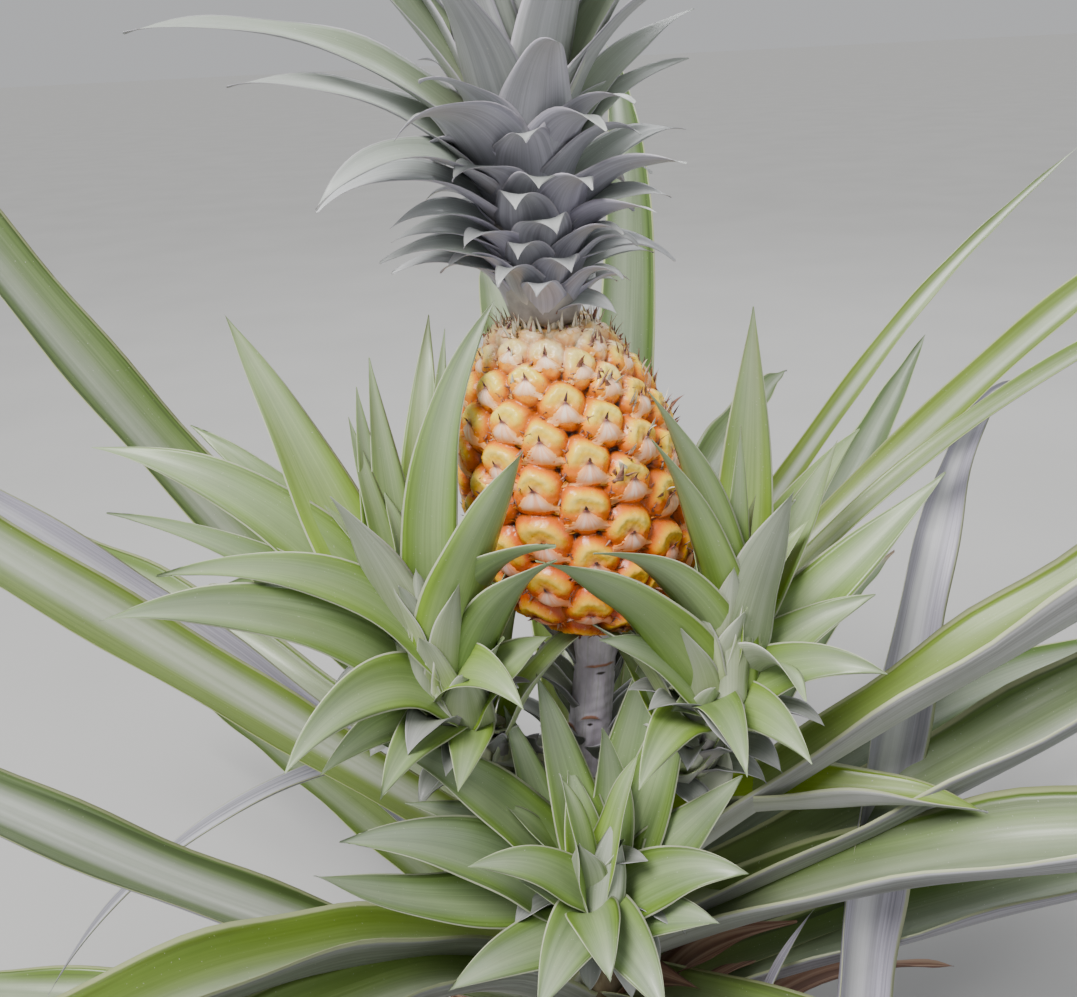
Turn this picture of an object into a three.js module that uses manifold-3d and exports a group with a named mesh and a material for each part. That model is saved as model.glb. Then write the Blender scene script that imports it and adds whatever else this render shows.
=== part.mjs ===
// A fruiting pineapple plant, rooted in the ground: a short leafy stem, one ripe
// fruit with its crown on a waxy stalk, three plantlets (slips) under the fruit,
// one ground sucker at the foot, and a rosette of long strap leaves.
// Millimetres, +Z up. The origin is the middle of the flat cut at ground level.

import * as THREE from 'three';
import { mergeVertices } from 'three/addons/utils/BufferGeometryUtils.js';
import Module from 'manifold-3d';

// ---------------------------------------------------------------- sizes
const GAP = 0.35;             // clearance between neighbours
const STEM_TOP = 340;         // the stem ends here and the fruit stalk begins
const STALK_TOP = 436;        // under the fruit
const FRUIT_BASE = 436.4;
const FRUIT_HEIGHT = 164;
const FRUIT_RADIUS = 59;      // over the eyes, at the widest
const CROWN_BASE = 601.5;
const CROWN_CORE_TOP = 712;
const LEAF_STEPS = 8;         // stations along a long leaf
const PLAIN_STEPS = 6;        // and along the plainer ones round the back and low down
const SLIP_STEPS = 4;         // stations along a plantlet's leaf
const CROWN_STEPS = 4;
const SPLIT_BEND = 74;        // a leaf that turns through more degrees than this is split at its bend
const GOLDEN = 137.508;

// sideways place of the plant's axis at height z: it leans a little, and the fruit tips to the left
function axisX(z) {
  if (z < 300) return -3 * z / 300;
  if (z < FRUIT_BASE) return -3 + 13 * (z - 300) / (FRUIT_BASE - 300);
  if (z < CROWN_BASE) return 10 - 21.5 * (z - FRUIT_BASE) / (CROWN_BASE - FRUIT_BASE);
  return -11.5 - 0.085 * (z - CROWN_BASE);
}

// outer radius of the stem, the stalk, the fruit and the crown's core
const STEM_PROFILE = [[0, 36], [14, 30], [40, 26], [110, 24], [200, 26], [270, 26], [312, 21], [STEM_TOP, 13.5]];
const STALK_PROFILE = [[STEM_TOP + GAP, 13.2], [365, 12], [400, 11.2], [422, 11.6], [STALK_TOP, 13.5]];
const CORE_PROFILE = [[CROWN_BASE, 17], [612, 19], [640, 20], [670, 17], [695, 11], [CROWN_CORE_TOP, 5]];
function fruitRadius(u) {     // u from 0 at the base to 1 at the top
  const widest = 0.40;
  const s = u < widest ? (widest - u) / widest : (u - widest) / (1 - widest);
  const full = u < widest ? 0.55 : 0.56;
  return FRUIT_RADIUS * (1 - full * Math.pow(s, u < widest ? 3.4 : 2.6));
}

// ---------------------------------------------------------------- leaf rows
// name, foot x y z, azimuth, elevation, bend along the leaf, bend's power, sweep in azimuth,
// length, width, roll, droop of the outer half  (mm and degrees)
const STRAP_LEAVES = [
  ['f', 46.6, -18.6, 292.4, -2.3, 40.6, -26, 1.2, 0.8, 848.6, 54, -16, 20],
  ['i', 35, -10.3, 221.5, -18.8, 37.6, -84, 1.2, -4.2, 785.2, 60, -4, 0],
  ['b1', -33.9, -5, 269.7, 187.2, 42.5, 6.4, 1.2, -0.7, 848.5, 38, -24, 40],
  ['c', -39.5, -30.9, 197.7, 199.9, 39.4, 15.7, 1.2, -1.6, 793.1, 38, -14, 45],
  ['d', -33.1, -24.6, 223.8, 227.3, 49, -87.7, 1.2, 4.8, 641.9, 44, 4, 0],
  ['g', 36.5, -7.7, 235.3, -3.7, 30.8, 9.2, 1.2, 0.8, 847.3, 56, -6, 35],
  ['h', 30.5, -2.8, 295, -16.4, 40, -51.4, 0.9, 2.3, 196, 38, -12, 0],
  ['j', 30.3, 5.1, 149.2, -1.5, 24.6, -36, 1.2, -2, 783.9, 58, -10, 10],
  ['a', -43.6, 3.8, 319.8, 160.8, 40.8, 28.6, 1.2, -1.7, 783.2, 40, -14, 45],
  ['b2', -42, 14, 186, -186.3, 68, -32, 0.6, 21.7, 606.7, 32, -14, 0],
  ['l1', 11.9, 25.3, 336.3, 43.9, 33.2, -22.6, 1.2, 2.3, 724, 17, 10.9, 0],
  ['l2', 24.9, 16.8, 328.5, 24.8, 44.5, -45.8, 1.2, -2.2, 810.7, 24, 14.9, 12],
  ['l3', 15.1, 18.3, 309.6, 14.9, 51.1, -59.2, 1.2, -2.9, 738.5, 14, 16.4, 12],
  ['l4', 33.5, 16.3, 313.3, 51.8, 13.5, -3.2, 1.2, 9.5, 619.8, 40.3, 5.2, 0],
  ['m', 4.9, 33.8, 329.7, 75.2, 40.4, -6.2, 1.2, 16.2, 714.6, 42.4, 1.6, 25],
  ['n', 26.1, 20.1, 213, 14.8, 32.6, -25.2, 1.2, -1.6, 399.3, 42.4, 17.8, 15],
  ['e', -18, -26.9, 195.2, 234.4, 53.3, -87.9, 1.2, -0.7, 601.7, 44, 4, 0],
  ['e2', -34, 2, 340, 172.7, 27, -80.8, 0.6, 25.6, 345.8, 13, -10, 0],
  ['p', 28.7, 18.1, 144.5, 8.3, 22.6, -37.4, 1.2, -3.2, 593.4, 46.6, 8.8, 25],
  ['r1', 12.7, 31.5, 300, 68, 24, -40, 1.2, 0, 700, 44.5, 0, 0],
  ['r2', 3.6, 33.8, 235, 84, 26, -50, 1.2, 0, 740, 46.6, 0, 0],
  ['r3', -3.6, 33.8, 310, 96, 42, -55, 1.2, 0, 680, 42.4, -0, 0],
  ['r4', -12.7, 31.5, 200, 112, 14, -32, 1.2, 0, 700, 46.6, -0, 0],
  ['r5', -20.5, 27.2, 265, 127, 15, -45, 1.2, 0, 620, 44.5, -0, 0],
  ['r6', -23.2, 24.9, 150, 133, 8, -16, 1.2, 0, 620, 44.5, -0, 0],
  ['r7', -29.4, 17, 245, 150, 30, -34, 1.2, 0, 660, 44.5, -0, 0],
  ['r8', -33.7, 4.7, 120, 172, 4, -8, 1.2, 0, 580, 42.4, -0, 0],
  ['r9', 18.5, 28.5, 180, 57, 10, -22, 1.2, 0, 660, 44.5, 0, 0],
  ['r10', 26.8, 20.9, 115, 38, 5, -10, 1.2, 0, 620, 42.4, 0, 0],
  ['s1', -11.1, -32.1, 185, 251, 26, -62, 1.2, 0, 580, 44.5, -0, 0],
  ['s2', -0.6, -34, 130, 269, 18, -38, 1.2, 0, 520, 44.5, 0, 0],
  ['s3', 9.4, -32.7, 175, 286, 25, -62, 1.2, 0, 560, 44.5, 0, 0],
  ['s4', 18.5, -28.5, 150, 303, 22, -46, 1.2, 0, 560, 44.5, 0, 0],
  ['s5', 26, -21.9, 195, 320, 21, -62, 1.2, 0, 620, 46.6, 0, 0],
  ['s6', -19, -28.2, 105, 236, 13, -24, 1.2, 0, 520, 42.4, -0, 0],
  ['s7', -28.5, -18.5, 95, 213, 8, -12, 1.2, 0, 560, 42.4, -0, 0],
  ['s8', 32.1, -11.1, 80, 341, 8, -14, 1.2, 0, 560, 42.4, 0, 0],
];
const SUCKER_LEAVES = [
  ['u1', 153, -56.4, 56, 25, 66, -30, 1.2, 0, 126, 30, 9.5, 0],
  ['u2', 138.9, -50.8, 50, 112, 62, -28, 1.2, 0, 144, 32, -7.7, 0],
  ['u3', 133.5, -74, 47, 232, 58, -40, 1.2, 0, 102, 28, -17.8, 0],
  ['u4', 151.2, -68.4, 40, 318, 48, -50, 1.2, 0, 90, 26, 14.5, 0],
  ['k', 146, -60.5, 34, 74.6, 91.8, -56, 1, -24.9, 615, 45, 50, 45],
  ['q', 126, -54, 34, 133.9, 56.9, 70, 1.2, 60, 235.4, 14, 0, 0],
];
const SLIP_LEFT = [
  ['L01', -82.6, -40.5, 417.7, 148.3, 64.7, -5.1, 1.2, -0, 213.2, 38.1, -27.5, 0],
  ['L02', -80.9, -38.9, 431.3, 84.8, 71.4, -14.9, 1.2, -4, 182.1, 26.9, 8.2, 0],
  ['L03', -71.5, -42.3, 427.8, 67.6, 85.6, -13.4, 1.2, -2.5, 175.4, 17.9, 18, 0],
  ['L04', -65.1, -37.9, 423.5, 35, 103.3, -52.9, 1.2, -3.4, 200.5, 31.4, 39.1, 0],
  ['L05', -84, -38.9, 425.3, 119.5, 80.8, 4.7, 1.2, -0.8, 165.9, 22.4, -12.9, 0],
  ['L06', -87.2, -40.1, 422, 136.1, 76.6, 14.7, 1.2, -0.4, 157.5, 20.2, -22.7, 0],
  ['L07', -82.3, -41.5, 429.3, 149.1, 78.2, 0.5, 1.2, -0.5, 137.1, 17.9, -30.3, 0],
  ['L08', -74.1, -37.2, 404.8, 170.6, 70.9, -63.4, 1.2, 1.8, 230.3, 38.1, -38.2, 0],
  ['L09', -78.8, -39.9, 410.7, 157.3, 67.8, -40.4, 1.2, 0.8, 191, 33.6, -31.9, 0],
  ['L10', -73.1, -37.4, 398.6, 184, 65.3, -50.9, 1.2, 1.6, 203.3, 22.4, -42.6, 0],
  ['L11', -60.2, -36.1, 406.6, 203.2, 70.4, -73.1, 1.2, 0.9, 188.3, 29.1, -48, 0],
  ['L12', -65.3, -36.1, 391.5, 211.7, 67, -62.9, 1.2, 1.3, 210.4, 40.3, -48, 0],
  ['L13', -76.5, -46.5, 422.5, 205, 79, -16.8, 1.2, -0.1, 122.6, 31.4, 48, 0],
  ['L14', -85.1, -55.7, 429.5, 254.8, 100.5, 23.7, 1.2, -5.3, 131.9, 26.9, 14.7, 0],
  ['L15', -75.3, -47.8, 420.8, -34.3, 75.9, -20.4, 1.2, 0.9, 154.9, 33.6, -41.2, 0],
  ['L16', -72.7, -44.4, 408.9, -30.3, 93.6, -80.9, 1.2, -0.3, 139.8, 29.1, -46.8, 0],
  ['L17', -66.5, -42.5, 395.7, -35.7, 82.7, -50, 1.2, 1.6, 135.6, 29.1, -44.6, 0],
  ['L18', -66.3, -36, 392.2, 232.3, 69.7, -104.3, 1.2, 4.6, 144.1, 33.6, -48, 0],
  ['L19', -64.6, -32.2, 391.7, 235.4, 48.9, -65.9, 1.2, -0.8, 111.6, 26.9, -42.3, 0],
  ['L20', -70.7, -38.3, 404.3, -54.4, 81.5, -117.2, 1.2, 2, 91.6, 29.1, 37.8, 0],
  ['L21', -67.6, -35.4, 391.2, -21.1, 64.4, -30.8, 1.2, -0.8, 86.1, 33.6, 48, 0],
  ['L22', -79.8, -51.1, 437.6, 230.3, 93, -31, 1.2, 0.3, 54.1, 17.9, 33.5, 0],
  ['L23', -68.5, -35.7, 397.1, 253, 40.1, -58.9, 1.2, 0.8, 99.2, 26.9, -30.9, 0],
  ['L24', -60.4, -32.2, 394.9, 275, 25.1, -31.1, 1.2, -12.2, 78.6, 24.6, -8.1, 0],
];
const SLIP_RIGHT = [
  ['R01', 69.2, -38, 409.6, 58.7, 68.4, 27.3, 1.2, -3.6, 197.3, 33.6, 13, 0],
  ['R02', 74.5, -39.3, 408.7, 86.4, 92.6, 5.6, 1.2, -0.2, 150.3, 15.7, -5.2, 0],
  ['R03', 72.8, -49.1, 407, 192, 92.8, -36.6, 1.2, -1.4, 178.6, 26.9, 48, 0],
  ['R04', 76.3, -50, 407.9, 202.6, 86.7, -31.8, 1.2, -1.5, 161, 24.6, 42.9, 0],
  ['R05', 75.3, -46.9, 395.4, 209.2, 87.5, -70.1, 1.2, -1.4, 154, 29.1, 46.6, 0],
  ['R06', 70.1, -42.8, 386.1, 211.7, 71, -44.1, 1.2, -2.7, 172.5, 35.8, 46.8, 0],
  ['R07', 71.6, -57.7, 422.6, 268, 94.5, 6.8, 1.2, 1.8, 90.6, 20.2, -6.2, 0],
  ['R08', 71.3, -51.3, 409, -32.1, 83.8, -15.1, 1.2, -0.8, 126.7, 35.8, -48, 0],
  ['R09', 59.9, -34.3, 405.7, 10.8, 36.3, 8.3, 1.2, 1, 167.2, 33.6, 33.9, 0],
  ['R10', 58.9, -33.4, 400.7, 28.2, 33.4, -18.6, 1.2, 1.4, 177.2, 29.1, 27.8, 0],
  ['R11', 61.8, -37.4, 394.2, -1, 54.5, -32.3, 1.2, -2.7, 108.8, 31.4, 38.9, 0],
  ['R12', 64.8, -39, 383.6, -28.7, 71.4, -79.3, 1.2, -5.7, 114.7, 31.4, 48, 0],
  ['R13', 77.6, -42.1, 395, -63.3, 94, -123.6, 1.2, -13.1, 95.2, 31.4, -33, 0],
  ['R14', 64.3, -32.4, 384, -58.9, 60.5, -93.9, 1.2, -6, 91.8, 29.1, 42.4, 0],
  ['R15', 60.6, -32.7, 387.9, -83.3, 62.4, -98.8, 1.2, -3, 97.8, 24.6, 17.8, 0],
  ['R16', 70.1, -32.1, 398.9, 225.7, 31.5, -20.2, 1.2, 3.4, 46.6, 22.4, -41.8, 0],
  ['R17', 58.5, -34.8, 404.7, 41.7, 54.4, -31.3, 1.2, -3, 175.9, 31.4, 21.9, 0],
  ['R18', 57.1, -34.1, 407.1, 26.4, 47.6, 16.1, 1.2, -0.9, 148.9, 29.1, 28.5, 0],
  ['R19', 60.3, -35, 389.4, 236.8, 41.3, -70.5, 1.2, 6.4, 87.2, 26.9, -26.2, 0],
  ['R20', 71.2, -38.8, 384.2, 200.5, 68.6, -47.2, 1.2, 1.8, 105.1, 29.1, -48, 0],
];
const SLIP_FRONT = [
  ['F01', 3.7, -67.4, 304.8, 58.9, 58.1, 8.2, 1.2, -0.8, 146.2, 33.6, 13.9, 0],
  ['F02', 8.2, -68.1, 303.1, 35.8, 61.9, 8, 1.2, -0.2, 135.3, 31.4, 25.1, 0],
  ['F03', -0, -64.6, 305.8, 127.1, 77.5, -14.6, 1.2, 1.9, 124.1, 29.1, -21.3, 0],
  ['F04', -6.7, -64.5, 303.2, 142.3, 62.8, 8.8, 1.2, 0.1, 113.2, 24.6, -26.9, 0],
  ['F05', -6.1, -64.1, 303, 180.9, 64, -29.6, 1.2, 18.2, 169.4, 38.1, -33.7, 0],
  ['F06', -3, -61, 304.8, 179.9, 53.8, -41, 1.2, 2.5, 113.9, 26.9, -36.4, 0],
  ['F07', -13.5, -67.4, 296.5, 197.6, 58.7, -47.7, 1.2, 2.7, 145.3, 38.1, -40.8, 0],
  ['F08', -3.4, -81.2, 314.1, 207.4, 64, -51.6, 1.2, 1.4, 87.7, 24.6, -45.6, 0],
  ['F09', -8.5, -55.7, 296.5, 205.3, 18.4, 27.8, 1.2, 9.5, 163.3, 31.4, -32.6, 0],
  ['F10', 0.3, -94.1, 316.7, 243.4, 113.3, 8, 1.2, -3.9, 50.5, 22.4, 12.6, 0],
  ['F11', 5.7, -71.3, 298.7, 6.3, 46.6, 2.6, 1.2, -1.3, 105.2, 33.6, 34.1, 0],
  ['F12', 9.1, -73.5, 299.9, -17.8, 59.5, -58, 1.2, -6.3, 86, 33.6, 38.5, 0],
  ['F13', 5.5, -73.6, 289.8, -30.1, 45.9, -39.4, 1.2, -5.3, 72.4, 29.1, 36.6, 0],
  ['F14', -3.5, -90.5, 316.5, -85.1, 45.3, -73.2, 1.2, 2.6, 58.9, 26.9, 8.4, 0],
  ['F15', 1.1, -79.5, 305.2, 250.2, 39.1, -58.3, 1.2, -7.1, 87.1, 33.6, -18.5, 0],
  ['F16', -4.3, -78.5, 304.6, -66.4, 36.4, -69.5, 1.2, -0, 82.3, 33.6, 18.9, 0],
  ['F17', 3.7, -67.5, 308.7, 60.2, 58.9, 60.1, 1.2, -5.7, 103.1, 24.6, 17, 0],
  ['F18', -4.7, -83.7, 314.5, 202.3, 47.8, -12.6, 1.2, 0.4, 48.1, 17.9, -42.8, 0],
  ['F19', -2.6, -74, 289.3, 224.5, 31.7, -26.2, 1.2, -0.9, 102, 31.4, -30.8, 0],
];
const CROWN_LEAVES = [
  ['K01', -38.7, -2.3, 681.2, 189.8, 45.6, -57, 1.2, 0.4, 157.7, 27.6, -27.3, 0],
  ['K02', -37, -3.6, 666.2, 193.6, 48.9, -58.1, 1.2, -0.2, 119.4, 27.6, -27.3, 0],
  ['K03', -24.1, -9.3, 655, 236.2, 69, -102, 1.2, 3.1, 100.7, 38, 16.2, 0],
  ['K04', -30.5, -5.7, 655.3, 220.4, 48.2, -95.2, 1.2, -1.2, 105.8, 25.3, -24.6, 0],
  ['K05', -31.3, -4.9, 646.3, 210.9, 48.7, -87.2, 1.2, 0.8, 96.6, 25.3, -25.3, 0],
  ['K06', -28.3, -4.2, 636.7, 209.7, 49.2, -79.9, 1.2, 3.2, 64.1, 20.7, -25.4, 0],
  ['K07', -27.2, -3.1, 628.4, 199.4, 48.9, -76.8, 1.2, 2.2, 61.1, 20.7, -26.2, 0],
  ['K08', -24.9, -4.5, 624.3, 204, 36.9, -60.4, 1.2, 1.1, 68.3, 20.7, -25.6, 0],
  ['K09', -23.7, -2.3, 618.1, 191.7, 38, -63.9, 1.2, 0.5, 62.1, 20.7, -24.7, 0],
  ['K10', -11.3, -10.4, 656.8, -58.1, 80.8, -113.3, 1.2, -3.3, 74, 29.9, -15, 0],
  ['K11', -2.2, 1.6, 677.2, 34.8, 50, -39, 1.2, 5.5, 105.9, 23, 18.6, 0],
  ['K12', -4.6, -0.9, 668.5, 13.5, 55.6, -50, 1.2, 4.5, 81.6, 25.3, 22.8, 0],
  ['K13', 1.3, 0.2, 654.5, 31, 45.2, -58.6, 1.2, 6.4, 80.9, 23, 20.5, 0],
  ['K14', 0.4, -2.9, 645.4, -31.5, 52.1, -64.3, 1.2, -5.6, 69.8, 23, -23.1, 0],
  ['K15', -1.1, -2.1, 636.8, -20, 56.2, -79.2, 1.2, -3.4, 58.8, 20.7, 26, 0],
  ['K16', -1.6, -3.6, 631.2, -38.5, 55, -73.9, 1.2, -6.2, 60.3, 20.7, -21.8, 0],
  ['K17', -3, -1.1, 621.9, 0.8, 42.6, -89.6, 1.2, 1.4, 59.9, 20.7, 24, 0],
  ['K18', -3.5, 0.7, 616.1, 19.1, 39.9, -66.3, 1.2, 3.8, 53.5, 20.7, 22, 0],
  ['K19', -5.5, -0.5, 607.4, 11.9, 54.2, -91.3, 1.2, 3.5, 34.7, 18.4, 22.2, 0],
  ['K20', -6.4, -4.5, 602.2, -30, 44.4, -85.8, 1.2, -2.5, 35.3, 18.4, 24.6, 0],
  ['K21', -27.9, -12.1, 692, 249.8, 84.2, 7.1, 1.2, 0.1, 199.9, 41.4, 6.4, 0],
  ['K22', -36.4, -2, 692, 185, 59.8, -19.3, 1.2, 0, 180.1, 36.8, -27.4, 0],
  ['K23', -1.4, -2.2, 690.3, -5, 62.7, -9, 1.2, -0, 180.1, 34.5, 27.4, 0],
];

// ---------------------------------------------------------------- shapes
const wasm = await Module();
wasm.setup();

const D = Math.PI / 180;
const smooth = (x) => { const c = Math.min(1, Math.max(0, x)); return c * c * (3 - 2 * c); };

function solid(positions, triangles) {
  const g = new THREE.BufferGeometry();
  g.setAttribute('position', new THREE.Float32BufferAttribute(positions, 3));
  g.setIndex(triangles);
  const m = mergeVertices(g, 1e-4);
  return new wasm.Manifold(new wasm.Mesh({
    numProp: 3,
    vertProperties: new Float32Array(m.attributes.position.array),
    triVerts: new Uint32Array(m.index.array),
  }));
}

// a limb: rings of `sides` points round a path of [x, y, z, radius]
function limb(path, sides) {
  const pos = [], tri = [];
  const n = path.length;
  let prev = new THREE.Vector3(1, 0, 0);
  for (let i = 0; i < n; i++) {
    const a = path[Math.max(0, i - 1)], b = path[Math.min(n - 1, i + 1)];
    const d = new THREE.Vector3(b[0] - a[0], b[1] - a[1], b[2] - a[2]).normalize();
    const level = path[i][4] === 'level';
    if (level) d.set(0, 0, d.z < 0 ? -1 : 1);
    const u = prev.clone().addScaledVector(d, -prev.dot(d)).normalize();
    prev = u;
    const v = d.clone().cross(u);
    for (let k = 0; k < sides; k++) {
      const t = 2 * Math.PI * k / sides;
      pos.push(path[i][0] + path[i][3] * (u.x * Math.cos(t) + v.x * Math.sin(t)),
        path[i][1] + path[i][3] * (u.y * Math.cos(t) + v.y * Math.sin(t)),
        path[i][2] + path[i][3] * (u.z * Math.cos(t) + v.z * Math.sin(t)));
    }
  }
  for (let i = 0; i + 1 < n; i++) for (let k = 0; k < sides; k++) {
    const a = i * sides + k, b = i * sides + (k + 1) % sides, c = a + sides, d = b + sides;
    tri.push(a, b, d, a, d, c);
  }
  for (let k = 1; k + 1 < sides; k++) {
    tri.push(0, k + 1, k);
    const o = (n - 1) * sides;
    tri.push(o, o + k, o + k + 1);
  }
  return solid(pos, tri);
}

// an upright turned body along the plant's leaning axis
function upright(profile, sides, grow = 0) {
  return limb(profile.map(([z, r], i) => {
    const end = i === 0 ? -grow : i === profile.length - 1 ? grow : 0;
    return [axisX(z), 0, z + end, r + grow, 'level'];
  }), sides);
}

const WIDTHS = {
  strap: (t) => (t < 0.3 ? 0.72 + 0.28 * smooth(t / 0.3) : 1 - Math.pow((t - 0.3) / 0.7, 2.1)),
  slip: (t) => (t < 0.28 ? 0.3 + 0.7 * smooth(t / 0.28) : 1 - Math.pow((t - 0.28) / 0.72, 1.5)),
  crown: (t) => (t < 0.25 ? 0.35 + 0.65 * smooth(t / 0.25) : 1 - Math.pow((t - 0.25) / 0.75, 1.55)),
};

// a leaf: a thin channelled blade along its own curve. t0..t1 is the stretch of it that is made.
function blade(row, kind, steps, o = {}) {
  const { t0 = 0, t1 = 1, grow = 0, thick = 2.4, channel = 0.42, back = 0, keel = 0 } = o;
  const [, x, y, z, az, el, bend, power, sweep, L, W, roll, droop] = row;
  const fine = 44;
  const at = (t) => {
    const e = (el + bend * Math.pow(Math.max(t, 0), power) - droop * Math.pow(Math.max(0, (t - 0.5) / 0.5), 2)) * D;
    const a = (az + sweep * t) * D;
    const d = new THREE.Vector3(Math.cos(e) * Math.cos(a), Math.cos(e) * Math.sin(a), Math.sin(e));
    const s0 = new THREE.Vector3(-Math.sin(a), Math.cos(a), 0);
    const n0 = d.clone().cross(s0);
    const r = roll * D;
    return { d, s: s0.clone().multiplyScalar(Math.cos(r)).addScaledVector(n0, Math.sin(r)),
      n: n0.clone().multiplyScalar(Math.cos(r)).addScaledVector(s0, -Math.sin(r)) };
  };
  const p = [new THREE.Vector3(x, y, z)];
  for (let i = 0; i < fine; i++) p.push(p[i].clone().addScaledVector(at((i + 0.5) / fine).d, L / fine));
  const point = (t) => {
    if (t < 0) return p[0].clone().addScaledVector(at(0).d, L * t);
    const f = Math.min(fine - 1e-9, t * fine), i = Math.floor(f);
    return p[i].clone().lerp(p[i + 1], f - i);
  };
  const pos = [], tri = [];
  const first = t0 === 0 ? -back / L : t0;
  const whole = t1 === 1;
  const rings = whole ? steps : steps + 1;
  for (let i = 0; i < rings; i++) {
    const t = first + (t1 - first) * i / steps;
    const c = point(t), f = at(Math.max(t, 0));
    const half = W / 2 * WIDTHS[kind](Math.max(t, 0)), w = half + grow;
    const k = -half * channel * keel, h = w * channel + k, q = (thick * (1 - 0.45 * t)) / 2 + grow;
    for (const [ds, dn] of [[-w, h], [0, k + q], [w, h], [0, k - q]]) {
      pos.push(c.x + f.s.x * ds + f.n.x * dn, c.y + f.s.y * ds + f.n.y * dn, c.z + f.s.z * ds + f.n.z * dn);
    }
  }
  for (let i = 0; i + 1 < rings; i++) for (let k = 0; k < 4; k++) {
    const a = i * 4 + k, b = i * 4 + (k + 1) % 4;
    tri.push(a, b + 4, b, a, a + 4, b + 4);
  }
  tri.push(0, 1, 3, 1, 2, 3);
  const o4 = (rings - 1) * 4;
  if (whole) {
    const c = point(1), f = at(1);
    pos.push(c.x + f.d.x * grow, c.y + f.d.y * grow, c.z + f.d.z * grow);
    for (let k = 0; k < 4; k++) tri.push(o4 + k, rings * 4, o4 + (k + 1) % 4);
  } else {
    tri.push(o4, o4 + 3, o4 + 1, o4 + 1, o4 + 3, o4 + 2);
  }
  return solid(pos, tri);
}

const largest = (m) => m.decompose().sort((a, b) => b.volume() - a.volume())[0];

// ---------------------------------------------------------------- pieces
const pieces = [];            // { name, color, rough, body, grown }
function add(name, color, rough, make) {
  pieces.push({ name, color, rough, body: make(0), grown: make });
}

add('stem', 0x7d7350, 0.9, (g) => upright(STEM_PROFILE, 14, g));
add('fruit_stalk', 0xa9a3b4, 0.55, (g) => upright(STALK_PROFILE, 12, g));

const FRUIT_RINGS = 11;
const fruitProfile = [];
for (let i = 0; i <= FRUIT_RINGS; i++) {
  const u = 0.5 - 0.5 * Math.cos(Math.PI * i / FRUIT_RINGS);
  fruitProfile.push([FRUIT_BASE + FRUIT_HEIGHT * u, fruitRadius(u)]);
}
add('fruit', 0xe8921e, 0.45, (g) => upright(fruitProfile, 20, g));

// crown: the core, the leaves that stand out, and a spiral of more leaves between them
const CROWN_SPIRAL = 92;
function crownRow(i) {
  const u = i / (CROWN_SPIRAL - 1);
  const z = 602.5 + 98 * Math.pow(u, 0.92);
  const az = (i * GOLDEN) % 360;
  const L = 38 + 26 * u + 148 * smooth((u - 0.5) / 0.4);
  const bend = -118 + 104 * smooth((u - 0.42) / 0.5);
  const j = Math.max(0, CORE_PROFILE.findIndex(([h]) => h > z) - 1);
  const [z0, r0] = CORE_PROFILE[j], [z1, r1] = CORE_PROFILE[j + 1];
  const r = Math.max(4, r0 + (r1 - r0) * (z - z0) / (z1 - z0) - 1.5);
  return ['k' + i, axisX(z) + r * Math.cos(az * D), r * Math.sin(az * D), z, az, 66 + 16 * u, bend, 1.75, 0, L, 22 + 13 * smooth(2.2 * u), 0, 0];
}
add('crown', 0x8f9c8c, 0.6, (g) => {
  let m = upright(CORE_PROFILE, 12, g);
  for (const row of CROWN_LEAVES) m = m.add(blade(row, 'crown', CROWN_STEPS, { grow: g, thick: 2.2, channel: 0.45, back: 1 }));
  for (let i = 3; i < CROWN_SPIRAL; i += 8) m = m.add(blade(crownRow(i), 'crown', CROWN_STEPS - 1, { grow: g, thick: 2.2, channel: 0.45, back: 3 }));
  return largest(m);
});

// plantlets: a short curved shoot on the stalk or the stem, with the leaves that make its outline
const INNER = new Set(['L03', 'L06', 'L07', 'L13', 'L17', 'L19', 'L22', 'L24', 'R02', 'R04', 'R10', 'R15', 'R16', 'R18', 'F04', 'F10', 'F17', 'F18']);
function plantlet(path, rows, g) {
  let m = limb(path.map(([x, y, z, r]) => [x, y, z, r + g]), 10);
  for (const row of rows) if (!INNER.has(row[0])) m = m.add(blade(row, 'slip', SLIP_STEPS, { grow: g, thick: 2.2, channel: 0.3, back: 2 }));
  return largest(m);
}
add('slip_left', 0x9cb36a, 0.55, (g) => plantlet(
  [[-12, -6, 352, 7], [-30, -20, 360, 10], [-54, -33, 374, 14], [-66, -38, 392, 17], [-73, -43, 416, 16], [-77, -49, 440, 9]], SLIP_LEFT, g));
add('slip_right', 0x9cb36a, 0.55, (g) => plantlet(
  [[10, -8, 348, 7], [28, -20, 352, 10], [50, -32, 364, 14], [61, -37, 382, 17], [67, -43, 405, 16], [70, -51, 431, 9]], SLIP_RIGHT, g));
add('slip_front', 0x9cb36a, 0.55, (g) => plantlet(
  [[-1, -28, 272, 8], [-1, -40, 278, 11], [-1, -56, 289, 16], [-1, -72, 302, 16], [-2, -90, 320, 8]], SLIP_FRONT, g));

// a ground sucker on a short runner from the stem's foot
add('sucker_shoot', 0x8d8a62, 0.8, (g) => limb(
  [[34, -14, 22, 10], [64, -27, 15, 11], [102, -43, 16, 12], [130, -54, 26, 14], [142, -59, 44, 13], [144, -60, 62, 8]].map(([x, y, z, r]) => [x, y, z, r + g]), 10));

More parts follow.
